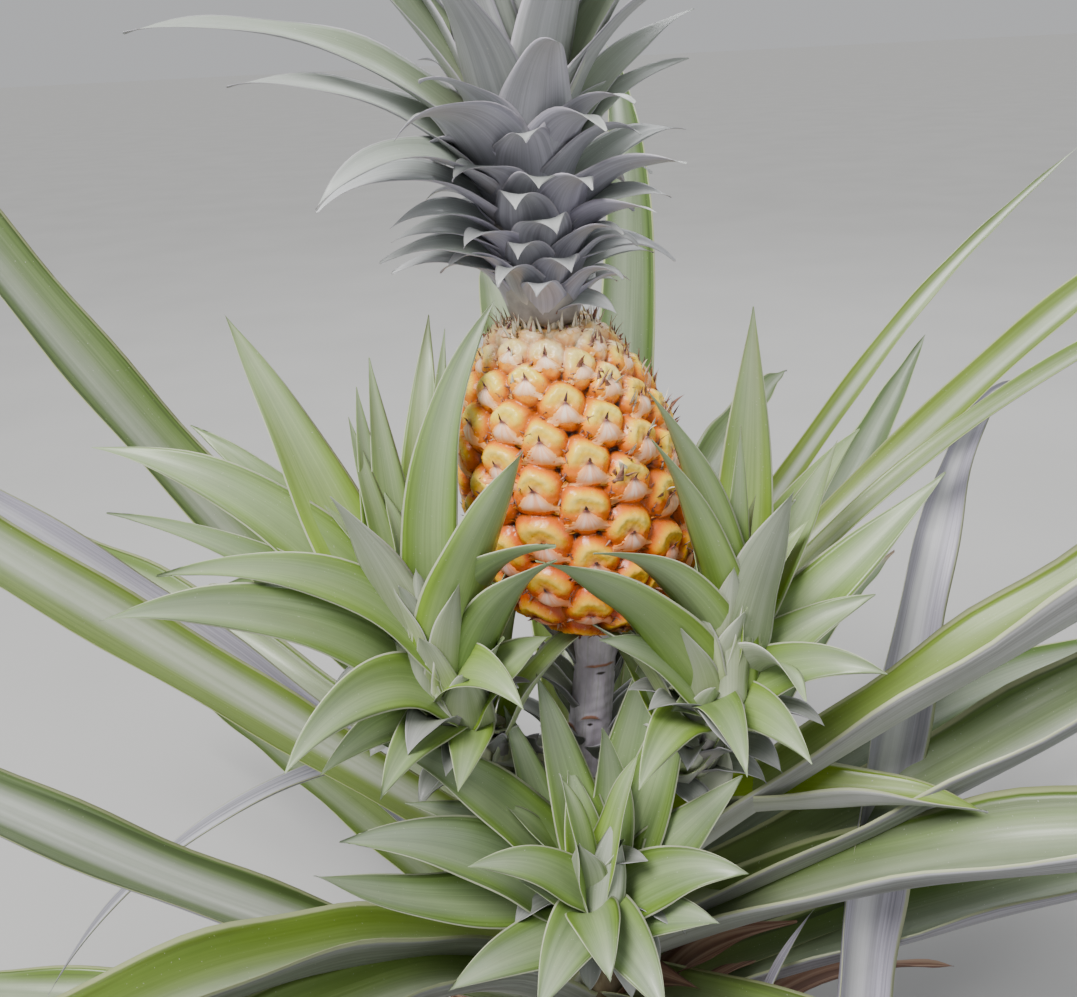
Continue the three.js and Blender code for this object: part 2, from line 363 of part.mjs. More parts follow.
// the long strap leaves, largest in view first; a strongly arched one is two nodes, split at the bend
// how deep each leaf's channel is, against half its width; the rest take the last two
const CHANNEL = {
  f: 0.85, i: 0.9, g: 0.85, j: 0.85, h: 0.8, b1: 0.55, b2: 0.45, c: 0.6, d: 0.85, e: 0.85, a: 0.6,
  l1: 0.55, l2: 0.55, l3: 0.5, l4: 0.7, m: 0.6, n: 0.6, k: 0.6, q: 0.6, p: 0.6, e2: 0.6,
};
const CHANNEL_OTHER = { leaf: 0.65, sucker_leaf: 0.6 };
for (const [group, rows] of [['leaf', STRAP_LEAVES], ['sucker_leaf', SUCKER_LEAVES]]) {
  for (const row of rows) {
    const turn = Math.abs(row[6]) + row[12];
    const steps = /^[rsu]/.test(row[0]) ? PLAIN_STEPS : LEAF_STEPS;
    const opt = { thick: 3.0, channel: CHANNEL[row[0]] ?? CHANNEL_OTHER[group], keel: 0.46 };
    if (turn > SPLIT_BEND) {
      const cut = 0.5, gap = GAP / row[9];
      add(`${group}_${row[0]}_inner`, 0x86a85a, 0.5, (g) => blade(row, 'strap', 6, { ...opt, grow: g, t1: cut }));
      add(`${group}_${row[0]}_outer`, 0x8fae66, 0.5, (g) => blade(row, 'strap', 6, { ...opt, grow: g, t0: cut + gap }));
    } else {
      add(`${group}_${row[0]}`, 0x86a85a, 0.5, (g) => blade(row, 'strap', steps, { ...opt, grow: g }));
    }
  }
}

// no two pieces overlap: where two cross, the one that loses less is cut back with a clearance
const boxes = pieces.map((p) => p.body.boundingBox());
const hit = (a, b) => [0, 1, 2].every((k) => a.min[k] < b.max[k] + 1 && b.min[k] < a.max[k] + 1);
for (let i = 0; i < pieces.length; i++) {
  for (let j = 0; j < i; j++) {
    if (!hit(boxes[i], boxes[j])) continue;
    const a = pieces[i], b = pieces[j];
    const near = a.body.intersect(b.grown(GAP));
    if (near.volume() < 1e-3) continue;
    if (a.name.split('_')[1] === b.name.split('_')[1] && a.name.startsWith('leaf') && b.name.startsWith('leaf')) continue;
    const cutA = largest(a.body.subtract(b.grown(GAP)));
    let cutB = null;
    if (j >= 3 && i >= 3 && b.name !== 'sucker_shoot') cutB = largest(b.body.subtract(a.grown(GAP)));
    const lossA = 1 - cutA.volume() / a.body.volume();
    const lossB = cutB ? 1 - cutB.volume() / b.body.volume() : 1;
    if (lossA <= lossB) a.body = cutA; else b.body = cutB;
  }
}

const plant = new THREE.Group();
for (const p of pieces) {
  const mesh = p.body.getMesh();
  const g = new THREE.BufferGeometry();
  g.setAttribute('position', new THREE.Float32BufferAttribute(mesh.vertProperties, 3));
  g.setIndex(Array.from(mesh.triVerts));
  g.computeVertexNormals();
  const m = new THREE.Mesh(g, new THREE.MeshStandardMaterial({ color: p.color, roughness: p.rough, metalness: 0 }));
  m.name = p.name;
  plant.add(m);
}

export default plant;
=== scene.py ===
# A fruiting pineapple plant, rooted in the ground: leaves, slips, crown, fruit, stalk, stem and ground sucker.
# Sizes in the tables are millimetres, as the solids were made; meshes are written in metres, +Z up.
import math

import bpy
import numpy as np
from mathutils import Matrix, Vector


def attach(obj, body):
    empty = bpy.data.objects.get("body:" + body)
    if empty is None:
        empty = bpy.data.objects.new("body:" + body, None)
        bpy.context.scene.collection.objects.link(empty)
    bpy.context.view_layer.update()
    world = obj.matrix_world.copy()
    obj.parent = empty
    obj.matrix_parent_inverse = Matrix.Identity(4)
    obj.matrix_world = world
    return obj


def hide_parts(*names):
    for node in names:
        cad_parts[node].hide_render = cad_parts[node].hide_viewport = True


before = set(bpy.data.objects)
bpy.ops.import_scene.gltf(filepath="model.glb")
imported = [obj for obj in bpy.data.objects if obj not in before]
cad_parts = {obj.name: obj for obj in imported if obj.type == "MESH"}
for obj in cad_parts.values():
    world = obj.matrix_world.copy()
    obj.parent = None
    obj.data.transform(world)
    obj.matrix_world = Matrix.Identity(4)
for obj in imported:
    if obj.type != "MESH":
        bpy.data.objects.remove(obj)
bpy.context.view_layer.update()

D = math.pi / 180
GOLDEN = 137.508
MM = 0.001


def smooth(x):
    c = np.clip(x, 0.0, 1.0)
    return c * c * (3 - 2 * c)


def axis_x(z):
    """Sideways place of the plant's leaning axis at height z."""
    z = np.asarray(z, float)
    return np.where(z < 300, -3 * z / 300,
                    np.where(z < 436.4, -3 + 13 * (z - 300) / 136.4,
                             np.where(z < 601.5, 10 - 21.5 * (z - 436.4) / 165.1, -11.5 - 0.085 * (z - 601.5))))


STEM_Z = [0, 14, 40, 110, 200, 270, 312, 340]
STEM_R = [36, 30, 26, 24, 26, 26, 21, 13.5]
CORE_Z = [601.5, 612, 640, 670, 695, 712]
CORE_R = [17, 19, 20, 17, 11, 5]

# ------------------------------------------------------------------ leaf rows
# name, foot x y z, azimuth, elevation, bend along the leaf, bend's power, sweep in azimuth,
# length, width, roll, droop of the outer half
STRAP_LEAVES = [
    ["f", 46.6, -18.6, 292.4, -2.3, 40.6, -26.0, 1.2, 0.8, 848.6, 54, -16, 20],
    ["i", 35.0, -10.3, 221.5, -18.8, 37.6, -84.0, 1.2, -4.2, 785.2, 60, -4, 0],
    ["b1", -33.9, -5.0, 269.7, 187.2, 42.5, 6.4, 1.2, -0.7, 848.5, 38, -24, 40],
    ["c", -39.5, -30.9, 197.7, 199.9, 39.4, 15.7, 1.2, -1.6, 793.1, 38, -14, 45],
    ["d", -33.1, -24.6, 223.8, 227.3, 49.0, -87.7, 1.2, 4.8, 641.9, 44, 4, 0],
    ["g", 36.5, -7.7, 235.3, -3.7, 30.8, 9.2, 1.2, 0.8, 847.3, 56, -6, 35],
    ["h", 30.5, -2.8, 295.0, -16.4, 40.0, -51.4, 0.86, 2.3, 196, 38, -12, 0.0],
    ["j", 30.3, 5.1, 149.2, -1.5, 24.6, -36.0, 1.2, -2.0, 783.9, 58, -10, 10],
    ["a", -43.6, 3.8, 319.8, 160.8, 40.8, 28.6, 1.2, -1.7, 783.2, 40, -14, 45],
    ["b2", -42.0, 14.0, 186.0, -186.3, 68.0, -32.0, 0.6, 21.7, 606.7, 32, -14.0, 0.0],
    ["l1", 11.9, 25.3, 336.3, 43.9, 33.2, -22.6, 1.2, 2.3, 724.0, 17, 10.9, 0],
    ["l2", 24.9, 16.8, 328.5, 24.8, 44.5, -45.8, 1.2, -2.2, 810.7, 24, 14.9, 12],
    ["l3", 15.1, 18.3, 309.6, 14.9, 51.1, -59.2, 1.2, -2.9, 738.5, 14, 16.4, 12],
    ["l4", 33.5, 16.3, 313.3, 51.8, 13.5, -3.2, 1.2, 9.5, 619.8, 40.3, 5.2, 0],
    ["m", 4.9, 33.8, 329.7, 75.2, 40.4, -6.2, 1.2, 16.2, 714.6, 42.4, 1.6, 25],
    ["n", 26.1, 20.1, 213.0, 14.8, 32.6, -25.2, 1.2, -1.6, 399.3, 42.4, 17.8, 15],
    ["e", -18.0, -26.9, 195.2, 234.4, 53.3, -87.9, 1.2, -0.7, 601.7, 44, 4, 0],
    ["e2", -34.0, 2.0, 340.0, 172.7, 27.0, -80.8, 0.6, 25.6, 345.8, 13.0, -10.0, 0.0],
    ["p", 28.7, 18.1, 144.5, 8.3, 22.6, -37.4, 1.2, -3.2, 593.4, 46.6, 8.8, 25],
    ["r1", 12.7, 31.5, 300.0, 68, 24, -40, 1.2, 0, 700.0, 44.5, 0.0, 0],
    ["r2", 3.6, 33.8, 235.0, 84, 26, -50, 1.2, 0, 740.0, 46.6, 0.0, 0],
    ["r3", -3.6, 33.8, 310.0, 96, 42, -55, 1.2, 0, 680.0, 42.4, -0.0, 0],
    ["r4", -12.7, 31.5, 200.0, 112, 14, -32, 1.2, 0, 700.0, 46.6, -0.0, 0],
    ["r5", -20.5, 27.2, 265.0, 127, 15, -45, 1.2, 0, 620.0, 44.5, -0.0, 0],
    ["r6", -23.2, 24.9, 150.0, 133, 8, -16, 1.2, 0, 620.0, 44.5, -0.0, 0],
    ["r7", -29.4, 17.0, 245.0, 150, 30, -34, 1.2, 0, 660.0, 44.5, -0.0, 0],
    ["r8", -33.7, 4.7, 120.0, 172, 4, -8, 1.2, 0, 580.0, 42.4, -0.0, 0],
    ["r9", 18.5, 28.5, 180.0, 57, 10, -22, 1.2, 0, 660.0, 44.5, 0.0, 0],
    ["r10", 26.8, 20.9, 115.0, 38, 5, -10, 1.2, 0, 620.0, 42.4, 0.0, 0],
    ["s1", -11.1, -32.1, 185.0, 251, 26, -62, 1.2, 0, 580.0, 44.5, -0.0, 0],
    ["s2", -0.6, -34.0, 130.0, 269, 18, -38, 1.2, 0, 520.0, 44.5, 0.0, 0],
    ["s3", 9.4, -32.7, 175.0, 286, 25, -62, 1.2, 0, 560.0, 44.5, 0.0, 0],
    ["s4", 18.5, -28.5, 150.0, 303, 22, -46, 1.2, 0, 560.0, 44.5, 0.0, 0],
    ["s5", 26.0, -21.9, 195.0, 320, 21, -62, 1.2, 0, 620.0, 46.6, 0.0, 0],
    ["s6", -19.0, -28.2, 105.0, 236, 13, -24, 1.2, 0, 520.0, 42.4, -0.0, 0],
    ["s7", -28.5, -18.5, 95.0, 213, 8, -12, 1.2, 0, 560.0, 42.4, -0.0, 0],
    ["s8", 32.1, -11.1, 80.0, 341, 8, -14, 1.2, 0, 560.0, 42.4, 0.0, 0],
]
SUCKER_LEAVES = [
    ["u1", 153.0, -56.4, 56.0, 25, 66, -30, 1.2, 0, 126.0, 30.0, 9.5, 0],
    ["u2", 138.9, -50.8, 50.0, 112, 62, -28, 1.2, 0, 144.0, 32.0, -7.7, 0],
    ["u3", 133.5, -74.0, 47.0, 232, 58, -40, 1.2, 0, 102.0, 28.0, -17.8, 0],
    ["u4", 151.2, -68.4, 40.0, 318, 48, -50, 1.2, 0, 90.0, 26.0, 14.5, 0],
    ["k", 146.0, -60.5, 34.0, 74.6, 91.8, -56.0, 1.0, -24.9, 615.0, 45.0, 50.0, 45.0],
    ["q", 126.0, -54.0, 34.0, 133.9, 56.9, 70.0, 1.2, 60.0, 235.4, 14, 0.0, 0.0],
]
SLIP_LEFT = [
    ["L01", -82.6, -40.5, 417.7, 148.3, 64.7, -5.1, 1.2, -0.0, 213.2, 38.1, -27.5, 0],
    ["L02", -80.9, -38.9, 431.3, 84.8, 71.4, -14.9, 1.2, -4.0, 182.1, 26.9, 8.2, 0],
    ["L03", -71.5, -42.3, 427.8, 67.6, 85.6, -13.4, 1.2, -2.5, 175.4, 17.9, 18.0, 0],
    ["L04", -65.1, -37.9, 423.5, 35.0, 103.3, -52.9, 1.2, -3.4, 200.5, 31.4, 39.1, 0],
    ["L05", -84.0, -38.9, 425.3, 119.5, 80.8, 4.7, 1.2, -0.8, 165.9, 22.4, -12.9, 0],
    ["L06", -87.2, -40.1, 422.0, 136.1, 76.6, 14.7, 1.2, -0.4, 157.5, 20.2, -22.7, 0],
    ["L07", -82.3, -41.5, 429.3, 149.1, 78.2, 0.5, 1.2, -0.5, 137.1, 17.9, -30.3, 0],
    ["L08", -74.1, -37.2, 404.8, 170.6, 70.9, -63.4, 1.2, 1.8, 230.3, 38.1, -38.2, 0],
    ["L09", -78.8, -39.9, 410.7, 157.3, 67.8, -40.4, 1.2, 0.8, 191.0, 33.6, -31.9, 0],
    ["L10", -73.1, -37.4, 398.6, 184.0, 65.3, -50.9, 1.2, 1.6, 203.3, 22.4, -42.6, 0],
    ["L11", -60.2, -36.1, 406.6, 203.2, 70.4, -73.1, 1.2, 0.9, 188.3, 29.1, -48.0, 0],
    ["L12", -65.3, -36.1, 391.5, 211.7, 67.0, -62.9, 1.2, 1.3, 210.4, 40.3, -48.0, 0],
    ["L13", -76.5, -46.5, 422.5, 205.0, 79.0, -16.8, 1.2, -0.1, 122.6, 31.4, 48.0, 0],
    ["L14", -85.1, -55.7, 429.5, 254.8, 100.5, 23.7, 1.2, -5.3, 131.9, 26.9, 14.7, 0],
    ["L15", -75.3, -47.8, 420.8, -34.3, 75.9, -20.4, 1.2, 0.9, 154.9, 33.6, -41.2, 0],
    ["L16", -72.7, -44.4, 408.9, -30.3, 93.6, -80.9, 1.2, -0.3, 139.8, 29.1, -46.8, 0],
    ["L17", -66.5, -42.5, 395.7, -35.7, 82.7, -50.0, 1.2, 1.6, 135.6, 29.1, -44.6, 0],
    ["L18", -66.3, -36.0, 392.2, 232.3, 69.7, -104.3, 1.2, 4.6, 144.1, 33.6, -48.0, 0],
    ["L19", -64.6, -32.2, 391.7, 235.4, 48.9, -65.9, 1.2, -0.8, 111.6, 26.9, -42.3, 0],
    ["L20", -70.7, -38.3, 404.3, -54.4, 81.5, -117.2, 1.2, 2.0, 91.6, 29.1, 37.8, 0],
    ["L21", -67.6, -35.4, 391.2, -21.1, 64.4, -30.8, 1.2, -0.8, 86.1, 33.6, 48.0, 0],
    ["L22", -79.8, -51.1, 437.6, 230.3, 93.0, -31.0, 1.2, 0.3, 54.1, 17.9, 33.5, 0],
    ["L23", -68.5, -35.7, 397.1, 253.0, 40.1, -58.9, 1.2, 0.8, 99.2, 26.9, -30.9, 0],
    ["L24", -60.4, -32.2, 394.9, 275.0, 25.1, -31.1, 1.2, -12.2, 78.6, 24.6, -8.1, 0],
]
SLIP_RIGHT = [
    ["R01", 69.2, -38.0, 409.6, 58.7, 68.4, 27.3, 1.2, -3.6, 197.3, 33.6, 13.0, 0],
    ["R02", 74.5, -39.3, 408.7, 86.4, 92.6, 5.6, 1.2, -0.2, 150.3, 15.7, -5.2, 0],
    ["R03", 72.8, -49.1, 407.0, 192.0, 92.8, -36.6, 1.2, -1.4, 178.6, 26.9, 48.0, 0],
    ["R04", 76.3, -50.0, 407.9, 202.6, 86.7, -31.8, 1.2, -1.5, 161.0, 24.6, 42.9, 0],
    ["R05", 75.3, -46.9, 395.4, 209.2, 87.5, -70.1, 1.2, -1.4, 154.0, 29.1, 46.6, 0],
    ["R06", 70.1, -42.8, 386.1, 211.7, 71.0, -44.1, 1.2, -2.7, 172.5, 35.8, 46.8, 0],
    ["R07", 71.6, -57.7, 422.6, 268.0, 94.5, 6.8, 1.2, 1.8, 90.6, 20.2, -6.2, 0],
    ["R08", 71.3, -51.3, 409.0, -32.1, 83.8, -15.1, 1.2, -0.8, 126.7, 35.8, -48.0, 0],
    ["R09", 59.9, -34.3, 405.7, 10.8, 36.3, 8.3, 1.2, 1.0, 167.2, 33.6, 33.9, 0],
    ["R10", 58.9, -33.4, 400.7, 28.2, 33.4, -18.6, 1.2, 1.4, 177.2, 29.1, 27.8, 0],
    ["R11", 61.8, -37.4, 394.2, -1.0, 54.5, -32.3, 1.2, -2.7, 108.8, 31.4, 38.9, 0],
    ["R12", 64.8, -39.0, 383.6, -28.7, 71.4, -79.3, 1.2, -5.7, 114.7, 31.4, 48.0, 0],
    ["R13", 77.6, -42.1, 395.0, -63.3, 94.0, -123.6, 1.2, -13.1, 95.2, 31.4, -33.0, 0],
    ["R14", 64.3, -32.4, 384.0, -58.9, 60.5, -93.9, 1.2, -6.0, 91.8, 29.1, 42.4, 0],
    ["R15", 60.6, -32.7, 387.9, -83.3, 62.4, -98.8, 1.2, -3.0, 97.8, 24.6, 17.8, 0],
    ["R16", 70.1, -32.1, 398.9, 225.7, 31.5, -20.2, 1.2, 3.4, 46.6, 22.4, -41.8, 0],
    ["R17", 58.5, -34.8, 404.7, 41.7, 54.4, -31.3, 1.2, -3.0, 175.9, 31.4, 21.9, 0],
    ["R18", 57.1, -34.1, 407.1, 26.4, 47.6, 16.1, 1.2, -0.9, 148.9, 29.1, 28.5, 0],
    ["R19", 60.3, -35.0, 389.4, 236.8, 41.3, -70.5, 1.2, 6.4, 87.2, 26.9, -26.2, 0],
    ["R20", 71.2, -38.8, 384.2, 200.5, 68.6, -47.2, 1.2, 1.8, 105.1, 29.1, -48.0, 0],
]
SLIP_FRONT = [
    ["F01", 3.7, -67.4, 304.8, 58.9, 58.1, 8.2, 1.2, -0.8, 146.2, 33.6, 13.9, 0],
    ["F02", 8.2, -68.1, 303.1, 35.8, 61.9, 8.0, 1.2, -0.2, 135.3, 31.4, 25.1, 0],
    ["F03", -0.0, -64.6, 305.8, 127.1, 77.5, -14.6, 1.2, 1.9, 124.1, 29.1, -21.3, 0],
    ["F04", -6.7, -64.5, 303.2, 142.3, 62.8, 8.8, 1.2, 0.1, 113.2, 24.6, -26.9, 0],
    ["F05", -6.1, -64.1, 303.0, 180.9, 64.0, -29.6, 1.2, 18.2, 169.4, 38.1, -33.7, 0],
    ["F06", -3.0, -61.0, 304.8, 179.9, 53.8, -41.0, 1.2, 2.5, 113.9, 26.9, -36.4, 0],
    ["F07", -13.5, -67.4, 296.5, 197.6, 58.7, -47.7, 1.2, 2.7, 145.3, 38.1, -40.8, 0],
    ["F08", -3.4, -81.2, 314.1, 207.4, 64.0, -51.6, 1.2, 1.4, 87.7, 24.6, -45.6, 0],
    ["F09", -8.5, -55.7, 296.5, 205.3, 18.4, 27.8, 1.2, 9.5, 163.3, 31.4, -32.6, 0],
    ["F10", 0.3, -94.1, 316.7, 243.4, 113.3, 8.0, 1.2, -3.9, 50.5, 22.4, 12.6, 0],
    ["F11", 5.7, -71.3, 298.7, 6.3, 46.6, 2.6, 1.2, -1.3, 105.2, 33.6, 34.1, 0],
    ["F12", 9.1, -73.5, 299.9, -17.8, 59.5, -58.0, 1.2, -6.3, 86.0, 33.6, 38.5, 0],
    ["F13", 5.5, -73.6, 289.8, -30.1, 45.9, -39.4, 1.2, -5.3, 72.4, 29.1, 36.6, 0],
    ["F14", -3.5, -90.5, 316.5, -85.1, 45.3, -73.2, 1.2, 2.6, 58.9, 26.9, 8.4, 0],
    ["F15", 1.1, -79.5, 305.2, 250.2, 39.1, -58.3, 1.2, -7.1, 87.1, 33.6, -18.5, 0],
    ["F16", -4.3, -78.5, 304.6, -66.4, 36.4, -69.5, 1.2, -0.0, 82.3, 33.6, 18.9, 0],
    ["F17", 3.7, -67.5, 308.7, 60.2, 58.9, 60.1, 1.2, -5.7, 103.1, 24.6, 17.0, 0],
    ["F18", -4.7, -83.7, 314.5, 202.3, 47.8, -12.6, 1.2, 0.4, 48.1, 17.9, -42.8, 0],
    ["F19", -2.6, -74.0, 289.3, 224.5, 31.7, -26.2, 1.2, -0.9, 102.0, 31.4, -30.8, 0],
]
CROWN_LEAVES = [
    ["K01", -38.7, -2.3, 681.2, 189.8, 45.6, -57.0, 1.2, 0.4, 157.7, 27.6, -27.3, 0],
    ["K02", -37.0, -3.6, 666.2, 193.6, 48.9, -58.1, 1.2, -0.2, 119.4, 27.6, -27.3, 0],
    ["K03", -24.1, -9.3, 655.0, 236.2, 69.0, -102.0, 1.2, 3.1, 100.7, 38.0, 16.2, 0],
    ["K04", -30.5, -5.7, 655.3, 220.4, 48.2, -95.2, 1.2, -1.2, 105.8, 25.3, -24.6, 0],
    ["K05", -31.3, -4.9, 646.3, 210.9, 48.7, -87.2, 1.2, 0.8, 96.6, 25.3, -25.3, 0],
    ["K06", -28.3, -4.2, 636.7, 209.7, 49.2, -79.9, 1.2, 3.2, 64.1, 20.7, -25.4, 0],
    ["K07", -27.2, -3.1, 628.4, 199.4, 48.9, -76.8, 1.2, 2.2, 61.1, 20.7, -26.2, 0],
    ["K08", -24.9, -4.5, 624.3, 204.0, 36.9, -60.4, 1.2, 1.1, 68.3, 20.7, -25.6, 0],
    ["K09", -23.7, -2.3, 618.1, 191.7, 38.0, -63.9, 1.2, 0.5, 62.1, 20.7, -24.7, 0],
    ["K10", -11.3, -10.4, 656.8, -58.1, 80.8, -113.3, 1.2, -3.3, 74.0, 29.9, -15.0, 0],
    ["K11", -2.2, 1.6, 677.2, 34.8, 50.0, -39.0, 1.2, 5.5, 105.9, 23.0, 18.6, 0],
    ["K12", -4.6, -0.9, 668.5, 13.5, 55.6, -50.0, 1.2, 4.5, 81.6, 25.3, 22.8, 0],
    ["K13", 1.3, 0.2, 654.5, 31.0, 45.2, -58.6, 1.2, 6.4, 80.9, 23.0, 20.5, 0],
    ["K14", 0.4, -2.9, 645.4, -31.5, 52.1, -64.3, 1.2, -5.6, 69.8, 23.0, -23.1, 0],
    ["K15", -1.1, -2.1, 636.8, -20.0, 56.2, -79.2, 1.2, -3.4, 58.8, 20.7, 26.0, 0],
    ["K16", -1.6, -3.6, 631.2, -38.5, 55.0, -73.9, 1.2, -6.2, 60.3, 20.7, -21.8, 0],
    ["K17", -3.0, -1.1, 621.9, 0.8, 42.6, -89.6, 1.2, 1.4, 59.9, 20.7, 24.0, 0],
    ["K18", -3.5, 0.7, 616.1, 19.1, 39.9, -66.3, 1.2, 3.8, 53.5, 20.7, 22.0, 0],
    ["K19", -5.5, -0.5, 607.4, 11.9, 54.2, -91.3, 1.2, 3.5, 34.7, 18.4, 22.2, 0],
    ["K20", -6.4, -4.5, 602.2, -30.0, 44.4, -85.8, 1.2, -2.5, 35.3, 18.4, 24.6, 0],
    ["K21", -27.9, -12.1, 692.0, 249.8, 84.2, 7.1, 1.2, 0.1, 199.9, 41.4, 6.4, 0],
    ["K22", -36.4, -2.0, 692.0, 185.0, 59.8, -19.3, 1.2, 0.0, 180.1, 36.8, -27.4, 0],
    ["K23", -1.4, -2.2, 690.3, -5.0, 62.7, -9.0, 1.2, -0.0, 180.1, 34.5, 27.4, 0],
]
SHOOTS = {
    "L": [[-12, -6, 352, 7], [-30, -20, 360, 10], [-54, -33, 374, 14], [-66, -38, 392, 17], [-73, -43, 416, 16], [-77, -49, 440, 9]],
    "R": [[10, -8, 348, 7], [28, -20, 352, 10], [50, -32, 364, 14], [61, -37, 382, 17], [67, -43, 405, 16], [70, -51, 431, 9]],
    "F": [[-1, -28, 272, 8], [-1, -40, 278, 11], [-1, -56, 289, 16], [-1, -72, 302, 16], [-2, -90, 320, 8]],
    "S": [[34, -14, 22, 10], [64, -27, 15, 11], [102, -43, 16, 12], [130, -54, 26, 14], [142, -59, 44, 13], [144, -60, 62, 8]],
}

# how grey, how yellow and how wide open each named leaf is: (grey, warm, channel)
STYLE = {
    "f": (.35, .30, .85), "i": (.50, .12, .90), "g": (.60, .10, .85), "j": (.50, .05, .85), "h": (.0, 1.0, 1.0),
    "b1": (.35, .30, .55), "b2": (.95, .0, .45), "c": (.55, .05, .60), "d": (.40, .30, .85), "e": (.45, .20, .85), "a": (.50, .10, .60),
    "l1": (.70, .55, .55), "l2": (.65, .50, .55), "l3": (.80, .25, .5), "l4": (.7, .1, .7), "m": (.8, .05, .6), "n": (.8, .0, .6),
    "k": (1.0, .0, .6), "q": (.2, .0, .6), "p": (.5, .1, .6), "e2": (.3, .0, .6),
}
# leaves with a wide painted highlight band along the blade: (strength, where across)
HIGHLIGHT_BANDED = {"c": (1.0, .25), "b1": (.60, .15), "b2": (.25, .40), "l1": (.70, .5), "l2": (.65, .5), "k": (.45, .35), "g": (.40, .4), "i": (.20, .6), "h": (.0, .0), "a": (.35, .6), "d": (.25, .5), "e": (.3, .5), "f": (.15, .2)}
# leaves that turn their under side to both sides of the light: silvery all over
SILVERY = ("b2", "k", "e2")

# ------------------------------------------------------------------ joined meshes


class Joined:
    """Many thin or round pieces joined in one mesh, with a map for its pattern and one for its own area."""

    ATTRS = ("across", "along", "tint", "grey", "warm", "dry", "size", "pale")

    def __init__(self, name, rows):
        self.name, self.rows = name, rows
        self.v, self.n, self.rects = [], 0, 0
        self.faces, self.mats, self.uvs, self.own, self.rect = [], [], [], [], []
        self.att = {k: [] for k in self.ATTRS}

    def add_verts(self, v, **att):
        k = len(v)
        self.v.append(np.asarray(v, float))
        for a in self.ATTRS:
            x = att.get(a, 0.0)
            self.att[a].append(np.broadcast_to(np.asarray(x, float), (k,)).copy())
        first = self.n
        self.n += k
        return first

    def add_faces(self, f, mat, uv, own, rect):
        """f (n, 3 or 4) corners; uv and own (n, corners, 2); own runs 0..1 inside rectangle number rect."""
        f = np.asarray(f)
        n = len(f)
        self.faces.append(f)
        self.mats.append(np.broadcast_to(np.asarray(mat), (n,)).copy())
        self.uvs.append(np.asarray(uv, float))
        self.own.append(np.asarray(own, float))
        self.rect.append(np.broadcast_to(np.asarray(rect), (n,)).copy())

    def new_rects(self, k):
        r = self.rects
        self.rects += k
        return r

    def build(self, materials):
        v = np.concatenate(self.v) * MM
        cols = int(math.ceil(self.rects / self.rows))
        loops, starts, mat, uv, own = [], [], [], [], []
        at = 0
        for f, m, u, o, r in zip(self.faces, self.mats, self.uvs, self.own, self.rect):
            n, k = f.shape
            loops.append(f.reshape(-1))
            starts.append(at + np.arange(n) * k)
            at += n * k
            mat.append(m)
            uv.append(u.reshape(-1, 2))
            cx, cy = (r % cols)[:, None], (r // cols)[:, None]
            x = (cx + 0.04 + 0.92 * o[:, :, 0]) / cols
            y = (cy + 0.02 + 0.96 * o[:, :, 1]) / self.rows
            own.append(np.stack([x, y], -1).reshape(-1, 2))
        loops, starts, mat = np.concatenate(loops), np.concatenate(starts), np.concatenate(mat)
        me = bpy.data.meshes.new(self.name)
        me.vertices.add(len(v))
        me.vertices.foreach_set("co", v.astype(np.float32).reshape(-1))
        me.loops.add(len(loops))
        me.loops.foreach_set("vertex_index", loops.astype(np.int32))
        me.polygons.add(len(starts))
        me.polygons.foreach_set("loop_start", starts.astype(np.int32))
        me.polygons.foreach_set("material_index", mat.astype(np.int32))
        me.polygons.foreach_set("use_smooth", np.ones(len(starts), bool))
        me.update(calc_edges=True)
        for label, data in (("pattern", uv), ("OFBake", own)):
            layer = me.uv_layers.new(name=label)
            layer.data.foreach_set("uv", np.concatenate(data).astype(np.float32).reshape(-1))
        for a in self.ATTRS:
            layer = me.attributes.new(a, "FLOAT", "POINT")
            layer.data.foreach_set("value", np.concatenate(self.att[a]).astype(np.float32))
        me.validate()
        for m in materials:
            me.materials.append(m)
        ob = bpy.data.objects.new(self.name, me)
        bpy.context.scene.collection.objects.link(ob)
        return ob


